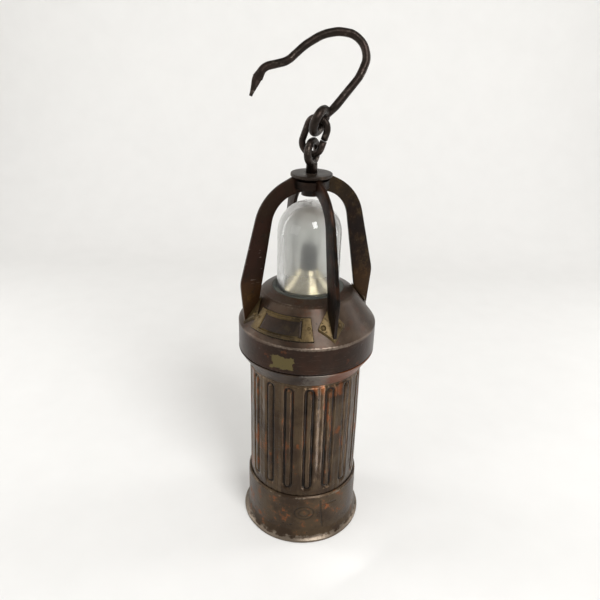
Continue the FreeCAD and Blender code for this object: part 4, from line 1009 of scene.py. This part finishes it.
def build_small_parts():
    """Bars, saddles, rivets, crown, swivel, link and hook, and what is inside."""
    bars = {
        "guard_arm_1": bar_finish("front_bar", NEAR_BLACK, SOOT_AND_SHADE, RUST, 0.06),
        "guard_arm_2": bar_finish("right_bar", BLACK_BROWN, OCHRE, OLD_BRASS, 0.30),
        "guard_arm_3": bar_finish("back_bar", DARK_BROWN, OCHRE, DULL_BRASS, 0.45),
        "guard_arm_4": bar_finish("left_bar", OXBLOOD, OCHRE, UMBER, 0.25, 0.8),
    }
    for node, material in bars.items():
        eased_copy(node, material, 0.3, 0.0)
    brass = aged_metal("saddle_brass", DULL_BRASS, OLD_BRASS, (0.15, 0.11, 0.055), 0.6, (0.34, 0.5))
    crown_paint = aged_metal("crown_metal", (0.014, 0.009, 0.006), (0.036, 0.025, 0.017), DUST, 0.5, (0.34, 0.5))
    plate_paint = aged_metal("plate_paint", (0.012, 0.007, 0.004), (0.026, 0.014, 0.008), DULL_BRASS, 0.35, (0.35, 0.5))
    hub_metal = aged_metal("hub_metal", SOOT_AND_SHADE, DARK_BROWN, CHOCOLATE, 0.6, (0.34, 0.5))
    iron = wrought_iron()
    for number in range(1, 5):
        eased_copy(f"guard_saddle_{number}", brass, 0.25)
    eased_copy("saddle_rivets", brass, 0.0)
    eased_copy("holder_rivets", brass, 0.0)
    eased_copy("crown_disc", crown_paint, 0.5, 0.0, 1, 3)
    eased_copy("crown_hub", hub_metal, 0.3)
    for seed, node in enumerate(("swivel_eye", "chain_link", "hook"), start=31):
        shape = blade if node == "hook" else None
        eased_copy(node, iron, 0.0, 0.12, seed, shape=shape)
    build_plate_holder(brass, plate_paint)
    spring_steel = smooth_stuff("spring_steel", (0.22, 0.21, 0.20), (0.42, 0.41, 0.40), 0.9, 0.35)
    spring = eased_copy("lock_spring", spring_steel, 0.0)
    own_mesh(spring)
    plain = {
        "brass": smooth_stuff("inner_brass", (0.30, 0.22, 0.10), BRIGHT_BRASS, 0.9, 0.38),
        "rubber": smooth_stuff("pad_rubber", (0.02, 0.02, 0.02), (0.05, 0.05, 0.045), 0.0, 0.7),
        "hard_rubber": smooth_stuff("hard_rubber", (0.010, 0.010, 0.011), (0.03, 0.028, 0.026), 0.0, 0.32),
        "cell_metal": smooth_stuff("cell_metal", (0.18, 0.18, 0.19), (0.30, 0.30, 0.31), 0.6, 0.55),
        "spring_steel": spring_steel,
        "bare_steel": smooth_stuff("lock_steel", (0.20, 0.18, 0.16), STEEL, 0.85, 0.38),
        "fibre": smooth_stuff("vulcanised_fibre", (0.16, 0.05, 0.025), (0.26, 0.09, 0.045), 0.0, 0.6),
        "tin": smooth_stuff("spun_tin", (0.55, 0.47, 0.33), TIN, 0.92, 0.30),
        "wrought_iron": iron,
        "bulb_glass": clear_glass(),
        "lacquered_steel": crown_paint,
    }
    for item in frame["record"]["subparts"]:
        node, slot = item["node"], item["material_slot"]
        shown = frame["nodes"][node]
        if shown.hide_render:
            continue
        shown.data.materials.clear()
        shown.data.materials.append(hub_metal if node in ("bulb_cap", "lamp_holder") else plain[slot])


def build_lights():
    """Soft studio light: a broad key from the front right, a low fill from the left,
    a strip on each side for the edges, and a pale surrounding."""
    lamps = {
        "key": ((0.42, -0.75, 0.95), (0.02, 0, 0.15), (0.45, 0.45), 9.5),
        "low_strip": ((0.062, -0.0965, 0.045), (0.0127, -0.0373, 0.101), (0.005, 0.07), 0.028),
        "fill": ((-0.95, -0.65, 0.55), (0, 0, 0.15), (0.7, 0.7), 3.2),
        "strip_left": ((-0.75, 0.15, 0.35), (0, 0, 0.15), (0.25, 0.9), 2.5),
        "strip_right": ((0.75, 0.20, 0.35), (0, 0, 0.15), (0.25, 0.9), 2.5),
    }
    for name, (spot, target, size, power) in lamps.items():
        data = bpy.data.lights.new(name, "AREA")
        data.shape = "RECTANGLE"
        data.size, data.size_y = size
        data.energy = power
        lamp = bpy.data.objects.new(name, data)
        bpy.context.scene.collection.objects.link(lamp)
        lamp.visible_camera = False
        aim = np.array(target) - np.array(spot)
        lamp.location = spot
        lamp.rotation_euler = (
            math.atan2(math.hypot(aim[0], aim[1]), -aim[2]),
            0,
            math.atan2(aim[1], aim[0]) - math.pi / 2,
        )
    world = bpy.data.worlds.new("pale_room")
    world.use_nodes = True
    world.node_tree.nodes["Background"].inputs["Color"].default_value = (1.0, 0.975, 0.94, 1)
    world.node_tree.nodes["Background"].inputs["Strength"].default_value = 0.45
    bpy.context.scene.world = world


CAMERA_TURN = (-0.758, 24.71, 1.552)
CAMERA_LENS = 37.21
CAMERA_SPOT = (0, -0.38566, 0.35484)


def build_camera():
    """A camera in front of the lamp, level with its hook and looking down at it."""
    yaw, pitch, roll = (math.radians(angle) for angle in CAMERA_TURN)
    data = bpy.data.cameras.new("camera")
    data.lens = CAMERA_LENS
    camera = bpy.data.objects.new("camera", data)
    bpy.context.scene.collection.objects.link(camera)
    forward = np.array([math.sin(yaw) * math.cos(pitch), math.cos(yaw) * math.cos(pitch), -math.sin(pitch)])
    level = np.array([math.cos(yaw), -math.sin(yaw), 0])
    upright = np.cross(level, forward)
    right = math.cos(roll) * level + math.sin(roll) * upright
    up = math.cos(roll) * upright - math.sin(roll) * level
    turn = np.eye(4)
    turn[:3, 0], turn[:3, 1], turn[:3, 2] = right, up, -forward
    turn[:3, 3] = CAMERA_SPOT
    camera.matrix_world = Matrix(turn.tolist())
    bpy.context.scene.camera = camera


build_pot()
build_collar()
build_head()
build_glass()
build_small_parts()
build_stage()
build_lights()
build_camera()
bpy.context.scene.view_settings.view_transform = "Standard"
